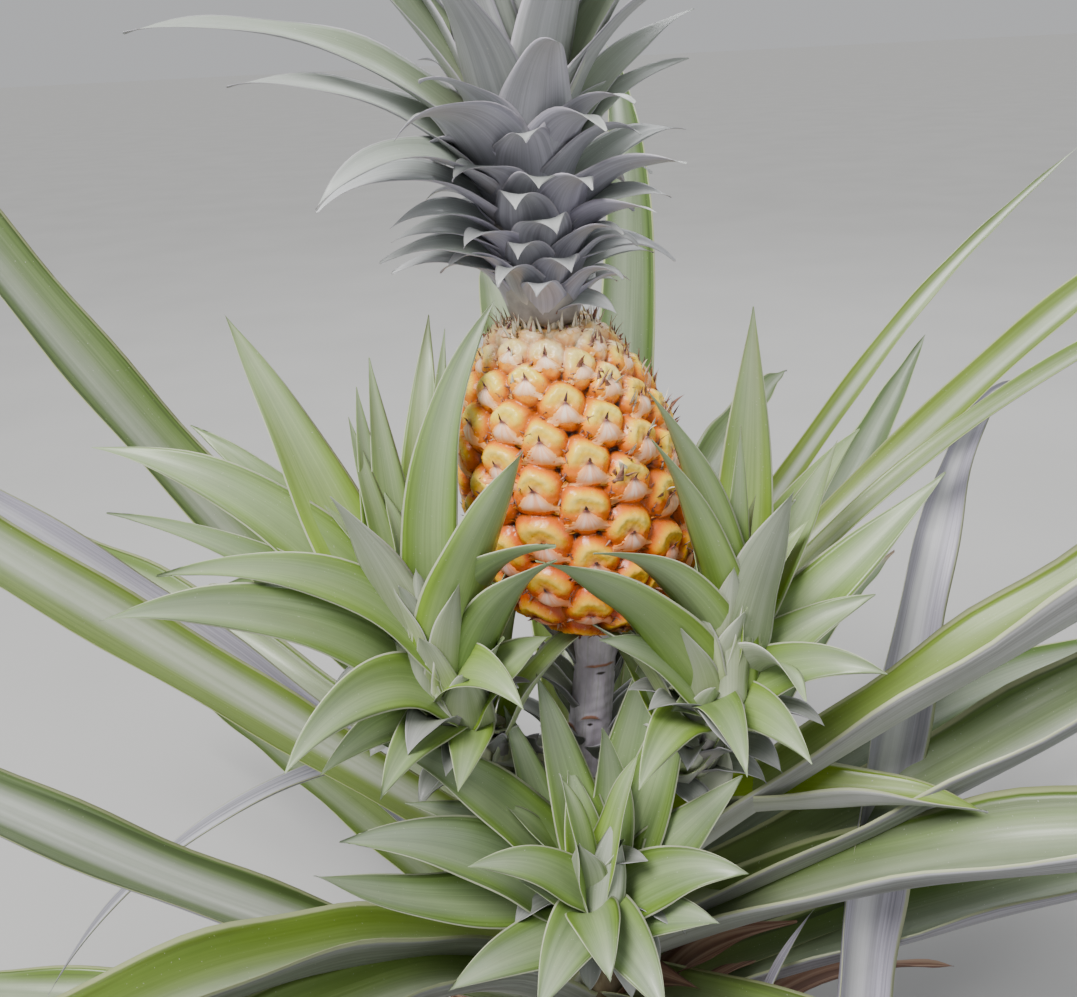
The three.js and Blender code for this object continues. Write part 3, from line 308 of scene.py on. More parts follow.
def grid_mesh(j, P, mat, uscale, vscale, closed=True, uoff=0.0, voff=0.0, cap0=True, cap1=True, **att):
    """Rings of points P (rings, sides, 3), anticlockwise seen from the far end, with a fan at each end."""
    M, R = P.shape[0], P.shape[1]
    att2 = {k: (np.broadcast_to(np.asarray(x, float), (M, R)).reshape(-1) if np.ndim(x) else x) for k, x in att.items()}
    first = j.add_verts(P.reshape(-1, 3), **att2)
    i, k = np.meshgrid(np.arange(M - 1), np.arange(R), indexing="ij")
    i, k = i.ravel(), k.ravel()
    kn = (k + 1) % R
    f = first + np.stack([i * R + k, i * R + kn, (i + 1) * R + kn, (i + 1) * R + k], -1)
    u0, u1, v0, v1 = k / R, (k + 1) / R, i / (M - 1), (i + 1) / (M - 1)
    own = np.stack([np.stack([u0, v0], -1), np.stack([u1, v0], -1), np.stack([u1, v1], -1), np.stack([u0, v1], -1)], 1)
    uv = own * [uscale, vscale] + [uoff, voff]
    r = j.new_rects(1)
    j.add_faces(f, mat, uv, own, r)
    for at, on, sign in ((0, cap0, -1), (M - 1, cap1, 1)):
        if not on:
            continue
        c = j.add_verts(P[at].mean(0)[None], **{a: (float(np.mean(np.broadcast_to(np.asarray(x, float), (M, R))[at])) if np.ndim(x) else x) for a, x in att.items()})
        ring = first + at * R + np.arange(R)
        nxt = first + at * R + (np.arange(R) + 1) % R
        t = np.stack([ring, nxt, np.full(R, c)], -1) if sign > 0 else np.stack([nxt, ring, np.full(R, c)], -1)
        q = 0.5 + 0.0 * np.zeros((R, 3, 2))
        q[:, 0, 0] = np.arange(R) / R
        q[:, 1, 0] = (np.arange(R) + 1) / R
        q[:, :2, 1] = 0.01 if sign < 0 else 0.99
        q[:, 2, 0] = (np.arange(R) + 0.5) / R
        q[:, 2, 1] = 0.0 if sign < 0 else 1.0
        j.add_faces(t, mat, q * [uscale, vscale] + [uoff, voff], q, r)


WIDTHS = {
    "strap": lambda t: np.where(t < 0.3, 0.72 + 0.28 * smooth(t / 0.3), 1 - np.maximum(0, (t - 0.3) / 0.7) ** 2.1),
    "slip": lambda t: np.where(t < 0.28, 0.74 + 0.26 * smooth(t / 0.28), 1 - np.maximum(0, (t - 0.28) / 0.72) ** 1.75),
    "crown": lambda t: np.where(t < 0.22, 0.86 + 0.14 * smooth(t / 0.22), 1 - np.maximum(0, (t - 0.22) / 0.78) ** 1.4),
}
KINDS = {  # across, along, steps in the sheath, thickness, channel's power, foot's share of the width
    "strap": (14, 54, 10, 2.8, 1.95, .72),
    "slip": (8, 26, 9, 1.9, 1.7, .42),
    "crown": (8, 20, 6, 2.0, 1.7, .5),
}


def shoot_points(path, steps=6):
    """A smooth path and radius through a shoot's points."""
    p = np.array([q[:4] for q in path], float)
    ext = np.vstack([2 * p[0] - p[1], p, 2 * p[-1] - p[-2]])
    out = []
    for i in range(1, len(ext) - 2):
        a, b, c, d = ext[i - 1], ext[i], ext[i + 1], ext[i + 2]
        for s in range(steps):
            t = s / steps
            out.append(0.5 * (2 * b + (c - a) * t + (2 * a - 5 * b + 4 * c - d) * t * t + (3 * b - a - 3 * c + d) * t ** 3))
    out.append(p[-1])
    return np.array(out)


SHOOT_PATHS = {k: shoot_points(v) for k, v in SHOOTS.items()}


def unit(v):
    return v / np.maximum(np.linalg.norm(v, axis=-1, keepdims=True), 1e-9)


def sheath_start(host, foot, width):
    """Where a leaf leaves its stem or shoot, the direction it grows there, and the way round it."""
    x, y, z = foot
    if host in ("M", "K", "P"):
        ax = float(axis_x(z))
        phi = math.atan2(y, x - ax)
        r0 = math.hypot(x - ax, y)
        if host == "P":
            z1 = z - 12.0
            rs = 9.5
        elif host == "M":
            rs = float(np.interp(z, STEM_Z, STEM_R))
            drop = min(96.0, max(42.0, 1.5 * (r0 - rs) + 30))
            z1 = max(z - drop, 4.0)
            rs = 0.86 * float(np.interp(z1, STEM_Z, STEM_R))
        else:
            rs = 0.8 * float(np.interp(z, CORE_Z, CORE_R))
            z1 = max(z - 15.0, 599.0)
            rs = min(rs, 0.8 * float(np.interp(z1, CORE_Z, CORE_R)))
        s = np.array([float(axis_x(z1)) + rs * math.cos(phi), rs * math.sin(phi), z1])
        return s, np.array([0.0, 0.0, 1.0]), np.array([-math.sin(phi), math.cos(phi), 0.0])
    path = SHOOT_PATHS[host]
    i = int(np.argmin(np.linalg.norm(path[:, :3] - foot, axis=1)))
    k = max(0, i - 7)
    tang = unit(path[min(k + 1, len(path) - 1), :3] - path[max(k - 1, 0), :3])
    out = foot - path[i, :3]
    out = out - tang * out.dot(tang)
    out = unit(out) if np.linalg.norm(out) > 0.5 else unit(np.cross(tang, [1.0, 0.2, 0.0]))
    s = path[k, :3] + out * path[k, 3] * 0.72
    return s, tang, unit(np.cross(tang, out))


def leaf(j, row, kind, host, rng, mats=(0, 1), grey=.4, warm=.2, channel=.5, dry=0.0, wave=1.0, tip_dry=0.0, floor=None, thick=None, clasp=1.0, frost=0.0, pale=0.0, shade=None):
    name, x, y, z, az, el, bend, power, sweep, L, W, roll, droop = row
    na, m, me, th, pw, foot_share = KINDS[kind]
    if thick:
        th = thick
    fine = 160
    tm = (np.arange(fine) + 0.5) / fine

    def frame_at(t):
        e = (el + bend * np.maximum(t, 0) ** power - droop * np.maximum(0, (t - 0.5) / 0.5) ** 2) * D
        a = (az + sweep * t) * D
        d = np.stack([np.cos(e) * np.cos(a), np.cos(e) * np.sin(a), np.sin(e)], -1)
        s = np.stack([-np.sin(a), np.cos(a), 0 * a], -1)
        return d, s, np.cross(d, s)

    d, _, _ = frame_at(tm)
    P = np.vstack([[0, 0, 0], np.cumsum(d, 0)]) * (L / fine) + [x, y, z]
    T = np.linspace(0, 1, m + 1)
    T = 0.75 * T + 0.25 * (1 - (1 - T) ** 1.6)
    base = np.stack([np.interp(T, np.linspace(0, 1, fine + 1), P[:, k]) for k in range(3)], -1)
    d, s, n = frame_at(T)
    r = (roll + 4 * wave * math.sin(rng.uniform(0, 6.28)) * T ** 2) * D
    s, n = s * np.cos(r)[:, None] + n * np.sin(r)[:, None], n * np.cos(r)[:, None] - s * np.sin(r)[:, None]
    half = W / 2 * WIDTHS[kind](T)
    half = np.maximum(half, 0.25)
    # gentle sway of the whole blade
    ph = rng.uniform(0, 6.28, 6)
    env = np.clip(T * 3, 0, 1)
    base = base + s * (wave * 0.0022 * L * np.sin(2 * math.pi * 1.3 * T + ph[0]) * env)[:, None] + n * (wave * 0.0028 * L * np.sin(2 * math.pi * 1.7 * T + ph[1]) * env)[:, None]
    # the sheath from the stem to the foot of the blade
    start, tang, side = sheath_start(host, np.array([x, y, z], float), W)
    gap = np.linalg.norm(base[0] - start)
    u = (np.arange(me) / me)[:, None]
    h00, h10, h01, h11 = 2 * u ** 3 - 3 * u ** 2 + 1, u ** 3 - 2 * u ** 2 + u, -2 * u ** 3 + 3 * u ** 2, u ** 3 - u ** 2
    sb = h00 * start + h10 * tang * gap * 1.25 + h01 * base[0] + h11 * d[0] * gap * 1.25
    sd = (6 * u ** 2 - 6 * u) * start + (3 * u ** 2 - 4 * u + 1) * tang * gap * 1.25 + (-6 * u ** 2 + 6 * u) * base[0] + (3 * u ** 2 - 2 * u) * d[0] * gap * 1.25
    sd = unit(sd)
    w2 = smooth(u)
    if side.dot(s[0]) < -0.2:
        side = -side
    ss = side * (1 - w2) + s[0] * w2
    ss = unit(ss - sd * np.sum(ss * sd, 1, keepdims=True))
    sn = np.cross(sd, ss)
    u = u[:, 0]
    if kind == "strap":
        wide = half[0] * (1 + 0.75 * (1 - smooth(u * 1.15)))
    else:
        wide = half[0] + (W / 2 * 1.02 * clasp - half[0]) * (1 - smooth(u))
    ch = channel + ((max(1.2 - channel, 0.2) if kind == "strap" else 0.95 - channel) * clasp) * (1 - smooth(u))
    C = np.vstack([sb, base])
    S = np.vstack([ss, s])
    N = np.vstack([sn, n])
    A = np.concatenate([u - 1, T])
    half = np.concatenate([wide, half])
    fold = 0.0 if kind == "strap" else 0.30
    chan = np.concatenate([ch + fold * smooth(u) * (1 - channel), channel + fold * (1 - channel) * (1 - smooth(T / 0.35))])
    if kind == "crown":
        chan = chan * (1 - 0.55 * smooth(A))
    chan = chan * (1 + 0.12 * wave * np.sin(2 * math.pi * 2.1 * np.clip(A, 0, 1) + ph[2]))
    q = th / 2 * np.clip(1.15 - 0.65 * np.clip(A, 0, 1), 0.2, 2) * np.clip(half / (0.25 * W), 0.12, 1)
    up = np.linspace(-1, 1, na + 1)
    up = np.sign(up) * np.abs(up) ** 0.9
    ring = np.concatenate([up, up[-2:0:-1]])
    top = np.concatenate([np.ones(na + 1), -np.ones(na - 1)])
    body = np.sqrt(np.clip(1 - ring ** 2, 0, 1)) ** 0.8 * top
    bodyq = np.where(np.abs(ring) > 0.999, 0, body)
    A2 = A[:, None]
    ripple = wave * 0.035 * W * (np.sin(2 * math.pi * (5.3 * L / 700 + 1.2) * A2 + ph[3] + 1.6 * np.sign(ring)) * np.abs(ring) ** 2) * np.clip(A2 * 4, 0, 1)
    keel = 0.46 * smooth(1 + A * 1.5)[:, None] if kind == "strap" else 0.0
    off_n = (half * chan)[:, None] * (np.abs(ring) ** pw - keel) + q[:, None] * bodyq + ripple
    lean = 0.06 * math.sin(ph[4]) * np.clip(A, 0, 1)[:, None] * half[:, None] * ring
    off_s = half[:, None] * ring
    V = C[:, None, :] + S[:, None, :] * off_s[:, :, None] + N[:, None, :] * (off_n + lean)[:, :, None]
    if floor is not None:
        V[..., 2] = np.maximum(V[..., 2], floor + 0.4 * (bodyq + 1))
    M, R = len(A), len(ring)
    tint = rng.uniform(0, 1)
    tint = tint if shade is None else shade
    first = j.add_verts(V.reshape(-1, 3), across=np.tile(ring, M), along=np.repeat(A, R), tint=tint, grey=grey, warm=warm,
                        dry=dry + tip_dry * np.repeat(smooth((A - 0.9) / 0.09), R), size=frost, pale=pale)
    i, k = np.meshgrid(np.arange(M - 1), np.arange(R), indexing="ij")
    i, k = i.ravel(), k.ravel()
    kn = (k + 1) % R
    f = first + np.stack([i * R + k, (i + 1) * R + k, (i + 1) * R + kn, i * R + kn], -1)
    sr = np.append(ring, -1.0)
    s0, s1 = sr[k], sr[k + 1]
    lower = (k >= na).astype(int)
    length = np.concatenate([[0], np.cumsum(np.linalg.norm(np.diff(C, axis=0), axis=1))])
    l0, l1 = length[i], length[i + 1]
    oy0, oy1 = l0 / length[-1], l1 / length[-1]
    ou = (rng.uniform(0, 3), rng.uniform(0, 3))
    uv = np.stack([np.stack([s0 * W / 2 * MM + ou[0], l0 * MM + ou[1]], -1), np.stack([s0 * W / 2 * MM + ou[0], l1 * MM + ou[1]], -1),
                   np.stack([s1 * W / 2 * MM + ou[0], l1 * MM + ou[1]], -1), np.stack([s1 * W / 2 * MM + ou[0], l0 * MM + ou[1]], -1)], 1)
    own = np.stack([np.stack([(s0 + 1) / 2, oy0], -1), np.stack([(s0 + 1) / 2, oy1], -1),
                    np.stack([(s1 + 1) / 2, oy1], -1), np.stack([(s1 + 1) / 2, oy0], -1)], 1)
    rect = j.new_rects(2)
    mat = np.where(lower == 1, mats[1], mats[0])
    j.add_faces(f, mat, uv, own, rect + lower)
    # tip
    end = C[-1] + unit(C[-1] - C[-2]) * 0.6
    if floor is not None:
        end[2] = max(end[2], floor + 0.4)
    c = j.add_verts(end[None], across=0, along=1, tint=tint, grey=grey, warm=warm, dry=dry + tip_dry, size=frost, pale=pale)
    k = np.arange(R)
    kn = (k + 1) % R
    t = np.stack([first + (M - 1) * R + k, np.full(R, c), first + (M - 1) * R + kn], -1)
    lo = (k >= na).astype(int)
    own = np.stack([np.stack([(sr[k] + 1) / 2, 0 * k + 0.999], -1), np.stack([0.5 + 0 * k, 0 * k + 1.0], -1), np.stack([(sr[k + 1] + 1) / 2, 0 * k + 0.999], -1)], 1)
    uv = np.stack([np.stack([sr[k] * W / 2 * MM + ou[0], 0 * k + length[-1] * MM + ou[1]], -1), np.stack([0 * k + ou[0], 0 * k + length[-1] * MM + ou[1]], -1),
                   np.stack([sr[k + 1] * W / 2 * MM + ou[0], 0 * k + length[-1] * MM + ou[1]], -1)], 1)
    j.add_faces(t, np.where(lo == 1, mats[1], mats[0]), uv, own, rect + lo)
    # foot
    k = np.arange(1, na - 1)
    f = first + np.stack([k, k + 1, R - k - 1, R - k], -1)
    z4 = np.zeros((len(k), 4, 2)) + [0.5, 0.0]
    j.add_faces(f, mats[1], z4 + [ou[0], ou[1]], z4, rect + 1)
    f = first + np.array([[0, 1, R - 1], [na - 1, na, na + 1]])
    z3 = np.zeros((2, 3, 2)) + [0.5, 0.0]
    j.add_faces(f, mats[1], z3 + [ou[0], ou[1]], z3, rect + 1)


def tube_rings(path, sides, relief=None):
    """Rings round a path of (x, y, z, radius)."""
    p, r = path[:, :3], path[:, 3]
    d = unit(np.gradient(p, axis=0))
    u = np.array([1.0, 0.0, 0.0])
    out = []
    a = 2 * math.pi * np.arange(sides) / sides
    for i in range(len(p)):
        u = unit(u - d[i] * u.dot(d[i]))
        v = np.cross(d[i], u)
        rr = r[i] + (relief[i] if relief is not None else 0)
        out.append(p[i] + (np.cos(a) * rr)[:, None] * u + (np.sin(a) * rr)[:, None] * v)
    return np.array(out)


# ------------------------------------------------------------------ materials


class Mat:
    """A short hand for node materials."""

    def __init__(self, name, rough=0.5, spec=0.5):
        self.m = bpy.data.materials.new(name)
        self.m.use_nodes = True
        self.t = self.m.node_tree
        self.b = self.t.nodes["Principled BSDF"]
        self.b.inputs["Roughness"].default_value = rough
        self.b.inputs["Specular IOR Level"].default_value = spec

    def put(self, to, what):
        if isinstance(what, bpy.types.NodeSocket):
            self.t.links.new(what, to)
        elif isinstance(what, (tuple, list)) and len(what) == 3 and to.type == "RGBA":
            to.default_value = (*what, 1)
        else:
            to.default_value = what

    def attr(self, name):
        n = self.t.nodes.new("ShaderNodeAttribute")
        n.attribute_name = name
        return n.outputs["Fac"]

    def math(self, op, a, b=0.0, clamp=False):
        n = self.t.nodes.new("ShaderNodeMath")
        n.operation = op
        n.use_clamp = clamp
        self.put(n.inputs[0], a)
        self.put(n.inputs[1], b)
        return n.outputs[0]

    def step(self, x, lo, hi, to0=0.0, to1=1.0):
        n = self.t.nodes.new("ShaderNodeMapRange")
        n.interpolation_type = "SMOOTHSTEP"
        self.put(n.inputs["Value"], x)
        n.inputs["From Min"].default_value, n.inputs["From Max"].default_value = lo, hi
        n.inputs["To Min"].default_value, n.inputs["To Max"].default_value = to0, to1
        return n.outputs["Result"]

    def mix(self, fac, a, b, blend="MIX"):
        n = self.t.nodes.new("ShaderNodeMix")
        n.data_type = "RGBA"
        n.blend_type = blend
        self.put(n.inputs[0], fac)
        self.put(n.inputs[6], a)
        self.put(n.inputs[7], b)
        return n.outputs[2]

    def ramp(self, fac, stops):
        n = self.t.nodes.new("ShaderNodeValToRGB")
        e = n.color_ramp.elements
        while len(e) < len(stops):
            e.new(0.5)
        for k, (pos, c) in zip(e, stops):
            k.position, k.color = pos, (*c, 1)
        self.put(n.inputs[0], fac)
        return n.outputs[0]

    def uv(self, scale):
        a = self.t.nodes.new("ShaderNodeUVMap")
        a.uv_map = "pattern"
        b = self.t.nodes.new("ShaderNodeMapping")
        b.inputs["Scale"].default_value = scale
        self.t.links.new(a.outputs[0], b.inputs["Vector"])
        return b.outputs[0]

    def obj(self, scale=(1, 1, 1)):
        a = self.t.nodes.new("ShaderNodeTexCoord")
        b = self.t.nodes.new("ShaderNodeMapping")
        b.inputs["Scale"].default_value = scale
        self.t.links.new(a.outputs["Object"], b.inputs["Vector"])
        return b.outputs[0]

    def noise(self, vec, scale, detail=3.0, rough=0.55):
        n = self.t.nodes.new("ShaderNodeTexNoise")
        self.put(n.inputs["Vector"], vec)
        n.inputs["Scale"].default_value = scale
        n.inputs["Detail"].default_value = detail
        n.inputs["Roughness"].default_value = rough
        return n.outputs["Fac"]

    def color(self, c):
        self.put(self.b.inputs["Base Color"], c)

    def rough(self, v):
        self.put(self.b.inputs["Roughness"], v)

    def bump(self, height, strength, dist):
        n = self.t.nodes.new("ShaderNodeBump")
        n.inputs["Strength"].default_value = strength
        n.inputs["Distance"].default_value = dist
        self.put(n.inputs["Height"], height)
        self.t.links.new(n.outputs[0], self.b.inputs["Normal"])


def leaf_material(name, dark, mid, light, greyc, warmc, basec, marginc, rough=0.42, under=False, margin=0.955, bloom_and_sheen_c=(0.40, 0.46, 0.34), bloom_and_sheen=0.3, frostc=(0.60, 0.58, 0.62), stripe=1.0, fine=1100, edgec=None, linec=(0.020, 0.040, 0.008), palec=(0.66, 0.68, 0.64)):
    k = Mat(name, rough)
    along, across, tint = k.attr("along"), k.attr("across"), k.attr("tint")
    wide = k.math("ABSOLUTE", across)
    veins = k.noise(k.uv((fine, 7, 1)), 1.0, 2.0, 0.6)
    streak = k.noise(k.uv((240, 3.2, 1)), 1.0, 2.0, 0.5)
    broad = k.noise(k.uv((70, 1.6, 1)), 1.0, 2.0, 0.5)
    blotch = k.noise(k.obj(), 34.0, 3.0, 0.6)
    f = k.math("ADD", k.math("MULTIPLY", veins, 0.40), k.math("ADD", k.math("MULTIPLY", streak, 0.35), k.math("MULTIPLY", broad, 0.25)))
    s = (0.14 if under else 0.21) / stripe
    c = k.ramp(f, [(0.5 - s, dark), (0.5, mid), (0.5 + s, light)])
    gf = k.math("MULTIPLY", k.attr("grey"), k.step(k.math("ADD", along, k.math("MULTIPLY", blotch, 0.5)), 0.0, 1.1, 0.6, 1.0))
    g2 = k.mix(k.step(f, 0.5 - s, 0.5 + s), tuple(x * 0.70 for x in greyc), tuple(min(1, x * 1.30) for x in greyc))
    c = k.mix(gf, c, g2)
    if edgec:
        c = k.mix(k.math("MULTIPLY", k.math("MULTIPLY", k.step(wide, 0.42, 0.80), k.step(k.attr("pale"), 0.1, 0.9, 1.0, 0.35)), k.step(broad, 0.2, 0.8, 0.95, 0.45)), c, edgec)
        c = k.mix(k.math("MULTIPLY", k.math("MULTIPLY", k.step(wide, 0.70, 0.84), k.step(streak, 0.47, 0.55)), 0.75), c, linec)
    wf = k.math("MULTIPLY", k.attr("warm"), k.step(along, 0.95, 0.15, 0.25, 1.0))
    c = k.mix(wf, c, k.mix(k.step(f, 0.5 - s, 0.5 + s), tuple(x * 0.8 for x in warmc), tuple(min(1, x * 1.12) for x in warmc)))
    # a soft lighter band along the blade, its place differs from leaf to leaf: partly the leaf's whitish bloom, partly
    # a painted highlight
    off = k.math("ABSOLUTE", k.math("SUBTRACT", across, k.math("MULTIPLY", k.math("SUBTRACT", tint, 0.5), 0.9)))
    c = k.mix(k.math("MULTIPLY", k.step(off, 0.62, 0.05), k.step(broad, 0.25, 0.75, bloom_and_sheen * 0.6, bloom_and_sheen * 1.4)), c, bloom_and_sheen_c)
    # painted highlight: a pale streak along the blade, where the light catches the leaf's channel
    c = k.mix(k.math("MULTIPLY", k.attr("pale"), k.math("MULTIPLY", k.step(off, 0.55, 0.10), k.step(streak, 0.25, 0.65, 0.55, 1.0))), c, palec)
    c = k.mix(k.step(tint, 0.0, 1.0, 0.0, 0.6), c, k.mix(1.0, c, (0.56, 0.62, 0.52), "MULTIPLY"))
    c = k.mix(k.math("MULTIPLY", k.step(blotch, 0.45, 0.72), 0.30), c, k.mix(1.0, c, (0.74, 0.76, 0.70), "MULTIPLY"))
    c = k.mix(k.step(k.math("ADD", along, k.math("MULTIPLY", k.math("SUBTRACT", streak, 0.5), 0.12)), 0.22, -0.30, 0.0, 0.9), c, basec)
    c = k.mix(k.math("MULTIPLY", k.attr("size"), k.step(along, 0.45, 0.92)), c, frostc)
    c = k.mix(k.math("MULTIPLY", k.step(wide, margin - 0.03, margin), k.step(wide, 0.985, margin, 0.85, 0.75)), c, marginc)
    dust = k.noise(k.obj(), 900.0, 1.0, 0.5)
    c = k.mix(k.math("MULTIPLY", k.step(dust, 0.74, 0.80), 0.35), c, (0.70, 0.70, 0.64))
    dryf = k.math("ADD", k.attr("dry"), k.math("MULTIPLY", k.math("SUBTRACT", blotch, 0.5), k.attr("dry")), True)
    c = k.mix(dryf, c, k.ramp(streak, [(0.3, (0.085, 0.036, 0.024)), (0.5, (0.20, 0.100, 0.062)), (0.7, (0.42, 0.29, 0.20))]))
    k.color(c)
    k.rough(k.step(streak, 0.3, 0.7, rough - 0.07, rough + 0.1))
    k.bump(veins, 0.20 if under else 0.10, 0.0004)
    return k.m


MARGIN = (0.42, 0.46, 0.24)
strap_upper = leaf_material("strap_upper", (0.052, 0.098, 0.018), (0.105, 0.165, 0.045), (0.205, 0.275, 0.110), (0.175, 0.215, 0.150), (0.300, 0.430, 0.012), (0.34, 0.40, 0.16), MARGIN, 0.36, bloom_and_sheen=0.30, bloom_and_sheen_c=(0.36, 0.40, 0.33), edgec=(0.075, 0.150, 0.010))
strap_under = leaf_material("strap_under", (0.150, 0.140, 0.175), (0.310, 0.295, 0.360), (0.580, 0.550, 0.660), (0.370, 0.350, 0.430), (0.28, 0.31, 0.18), (0.42, 0.43, 0.34), MARGIN, 0.44, True, bloom_and_sheen_c=(0.74, 0.71, 0.82), bloom_and_sheen=0.42, stripe=1.15)
slip_upper = leaf_material("slip_upper", (0.095, 0.180, 0.040), (0.180, 0.285, 0.080), (0.330, 0.450, 0.170), (0.270, 0.340, 0.225), (0.310, 0.480, 0.030), (0.46, 0.54, 0.30), (0.58, 0.62, 0.44), 0.38, bloom_and_sheen=0.20, bloom_and_sheen_c=(0.48, 0.54, 0.37), edgec=(0.150, 0.260, 0.030), linec=(0.070, 0.125, 0.020))
slip_under = leaf_material("slip_under", (0.170, 0.220, 0.130), (0.275, 0.330, 0.220), (0.440, 0.480, 0.390), (0.370, 0.390, 0.370), (0.40, 0.48, 0.20), (0.56, 0.59, 0.49), (0.62, 0.63, 0.56), 0.44, True, bloom_and_sheen=0.20, bloom_and_sheen_c=(0.58, 0.60, 0.54), stripe=0.8)
crown_upper = leaf_material("crown_upper", (0.165, 0.200, 0.155), (0.290, 0.340, 0.270), (0.480, 0.520, 0.460), (0.375, 0.390, 0.420), (0.34, 0.42, 0.24), (0.62, 0.56, 0.45), (0.56, 0.54, 0.58), 0.38, bloom_and_sheen=0.20, bloom_and_sheen_c=(0.40, 0.44, 0.41), stripe=0.8)
crown_under = leaf_material("crown_under", (0.245, 0.230, 0.290), (0.400, 0.375, 0.470), (0.610, 0.580, 0.700), (0.470, 0.440, 0.560), (0.42, 0.46, 0.38), (0.78, 0.69, 0.56), (0.56, 0.53, 0.60), 0.42, True, bloom_and_sheen_c=(0.42, 0.42, 0.49), bloom_and_sheen=0.22, stripe=0.7)
# painted shade: the scale leaves low on the shoots and the stalk's bracts get darker greys than the slip leaves, for
# the shade they sit in under the plantlets and the fruit
scale_upper_shaded = leaf_material("scale_upper_shaded", (0.095, 0.125, 0.070), (0.165, 0.195, 0.130), (0.270, 0.300, 0.230), (0.220, 0.220, 0.240), (0.25, 0.33, 0.10), (0.36, 0.38, 0.32), (0.50, 0.49, 0.51), 0.40, bloom_and_sheen=0.16, bloom_and_sheen_c=(0.42, 0.43, 0.42))
scale_under_shaded = leaf_material("scale_under_shaded", (0.110, 0.108, 0.128), (0.190, 0.182, 0.220), (0.320, 0.305, 0.365), (0.235, 0.222, 0.275), (0.28, 0.32, 0.20), (0.38, 0.35, 0.36), (0.54, 0.52, 0.58), 0.44, True, bloom_and_sheen_c=(0.50, 0.47, 0.56), bloom_and_sheen=0.2, stripe=0.7)


def plain_material(name, stops, scale, rough=0.6, bump=0.3, stretch=(1, 1, 1), extra=None):
    k = Mat(name, rough)
    f = k.noise(k.obj(stretch), scale, 5.0, 0.6)
    c = k.ramp(f, stops)
    if extra:
        c = extra(k, c)
    k.color(c)
    k.rough(k.step(f, 0.3, 0.7, rough - 0.08, rough + 0.1))
    k.bump(f, bump, 0.0006)
    return k.m


# ------------------------------------------------------------------ the fruit
FRUIT_BASE, FRUIT_HEIGHT, FRUIT_RADIUS = 436.4, 164.0, 59.0
EYE_HEIGHT = 4.5
EYE_RISE, EYE_CHANGE, EYE_TURN, EYE_FIRST = 1.40, -0.0030, -137.53, (-79.0, 542.0)
# this fruit's spiral is not quite even: eye number, degrees round and millimetres up from the even spiral
EYE_SHIFT = [
    (-34, 15.2, -9.3), (-29, 5.7, -3.5), (-26, 17.9, -7.6), (-21, 4.0, -2.0), (-18, 15.9, -9.9), (-16, -0.2, 1.6), (-13, 4.8, -0.5), (-8, -2.4, 3.4), (-5, 1.9, -3.1), (0, -2.2, 2.1), (3, 4.4, -5.2), (5, -0.0, 0.1), (8, -3.7, 0.2), (13, 0.5, 0.7), (16, -4.3, -3.1), (21, -0.7, -1.0), (29, -3.8, -1.0), (34, 7.7, -2.5), (42, 0.6, -7.5),
]


def fruit_radius(u):
    s = np.where(u < 0.4, (0.4 - u) / 0.4, (u - 0.4) / 0.6)
    return FRUIT_RADIUS * (1 - np.where(u < 0.4, 0.55 * s ** 3.4, 0.56 * s ** 2.6))


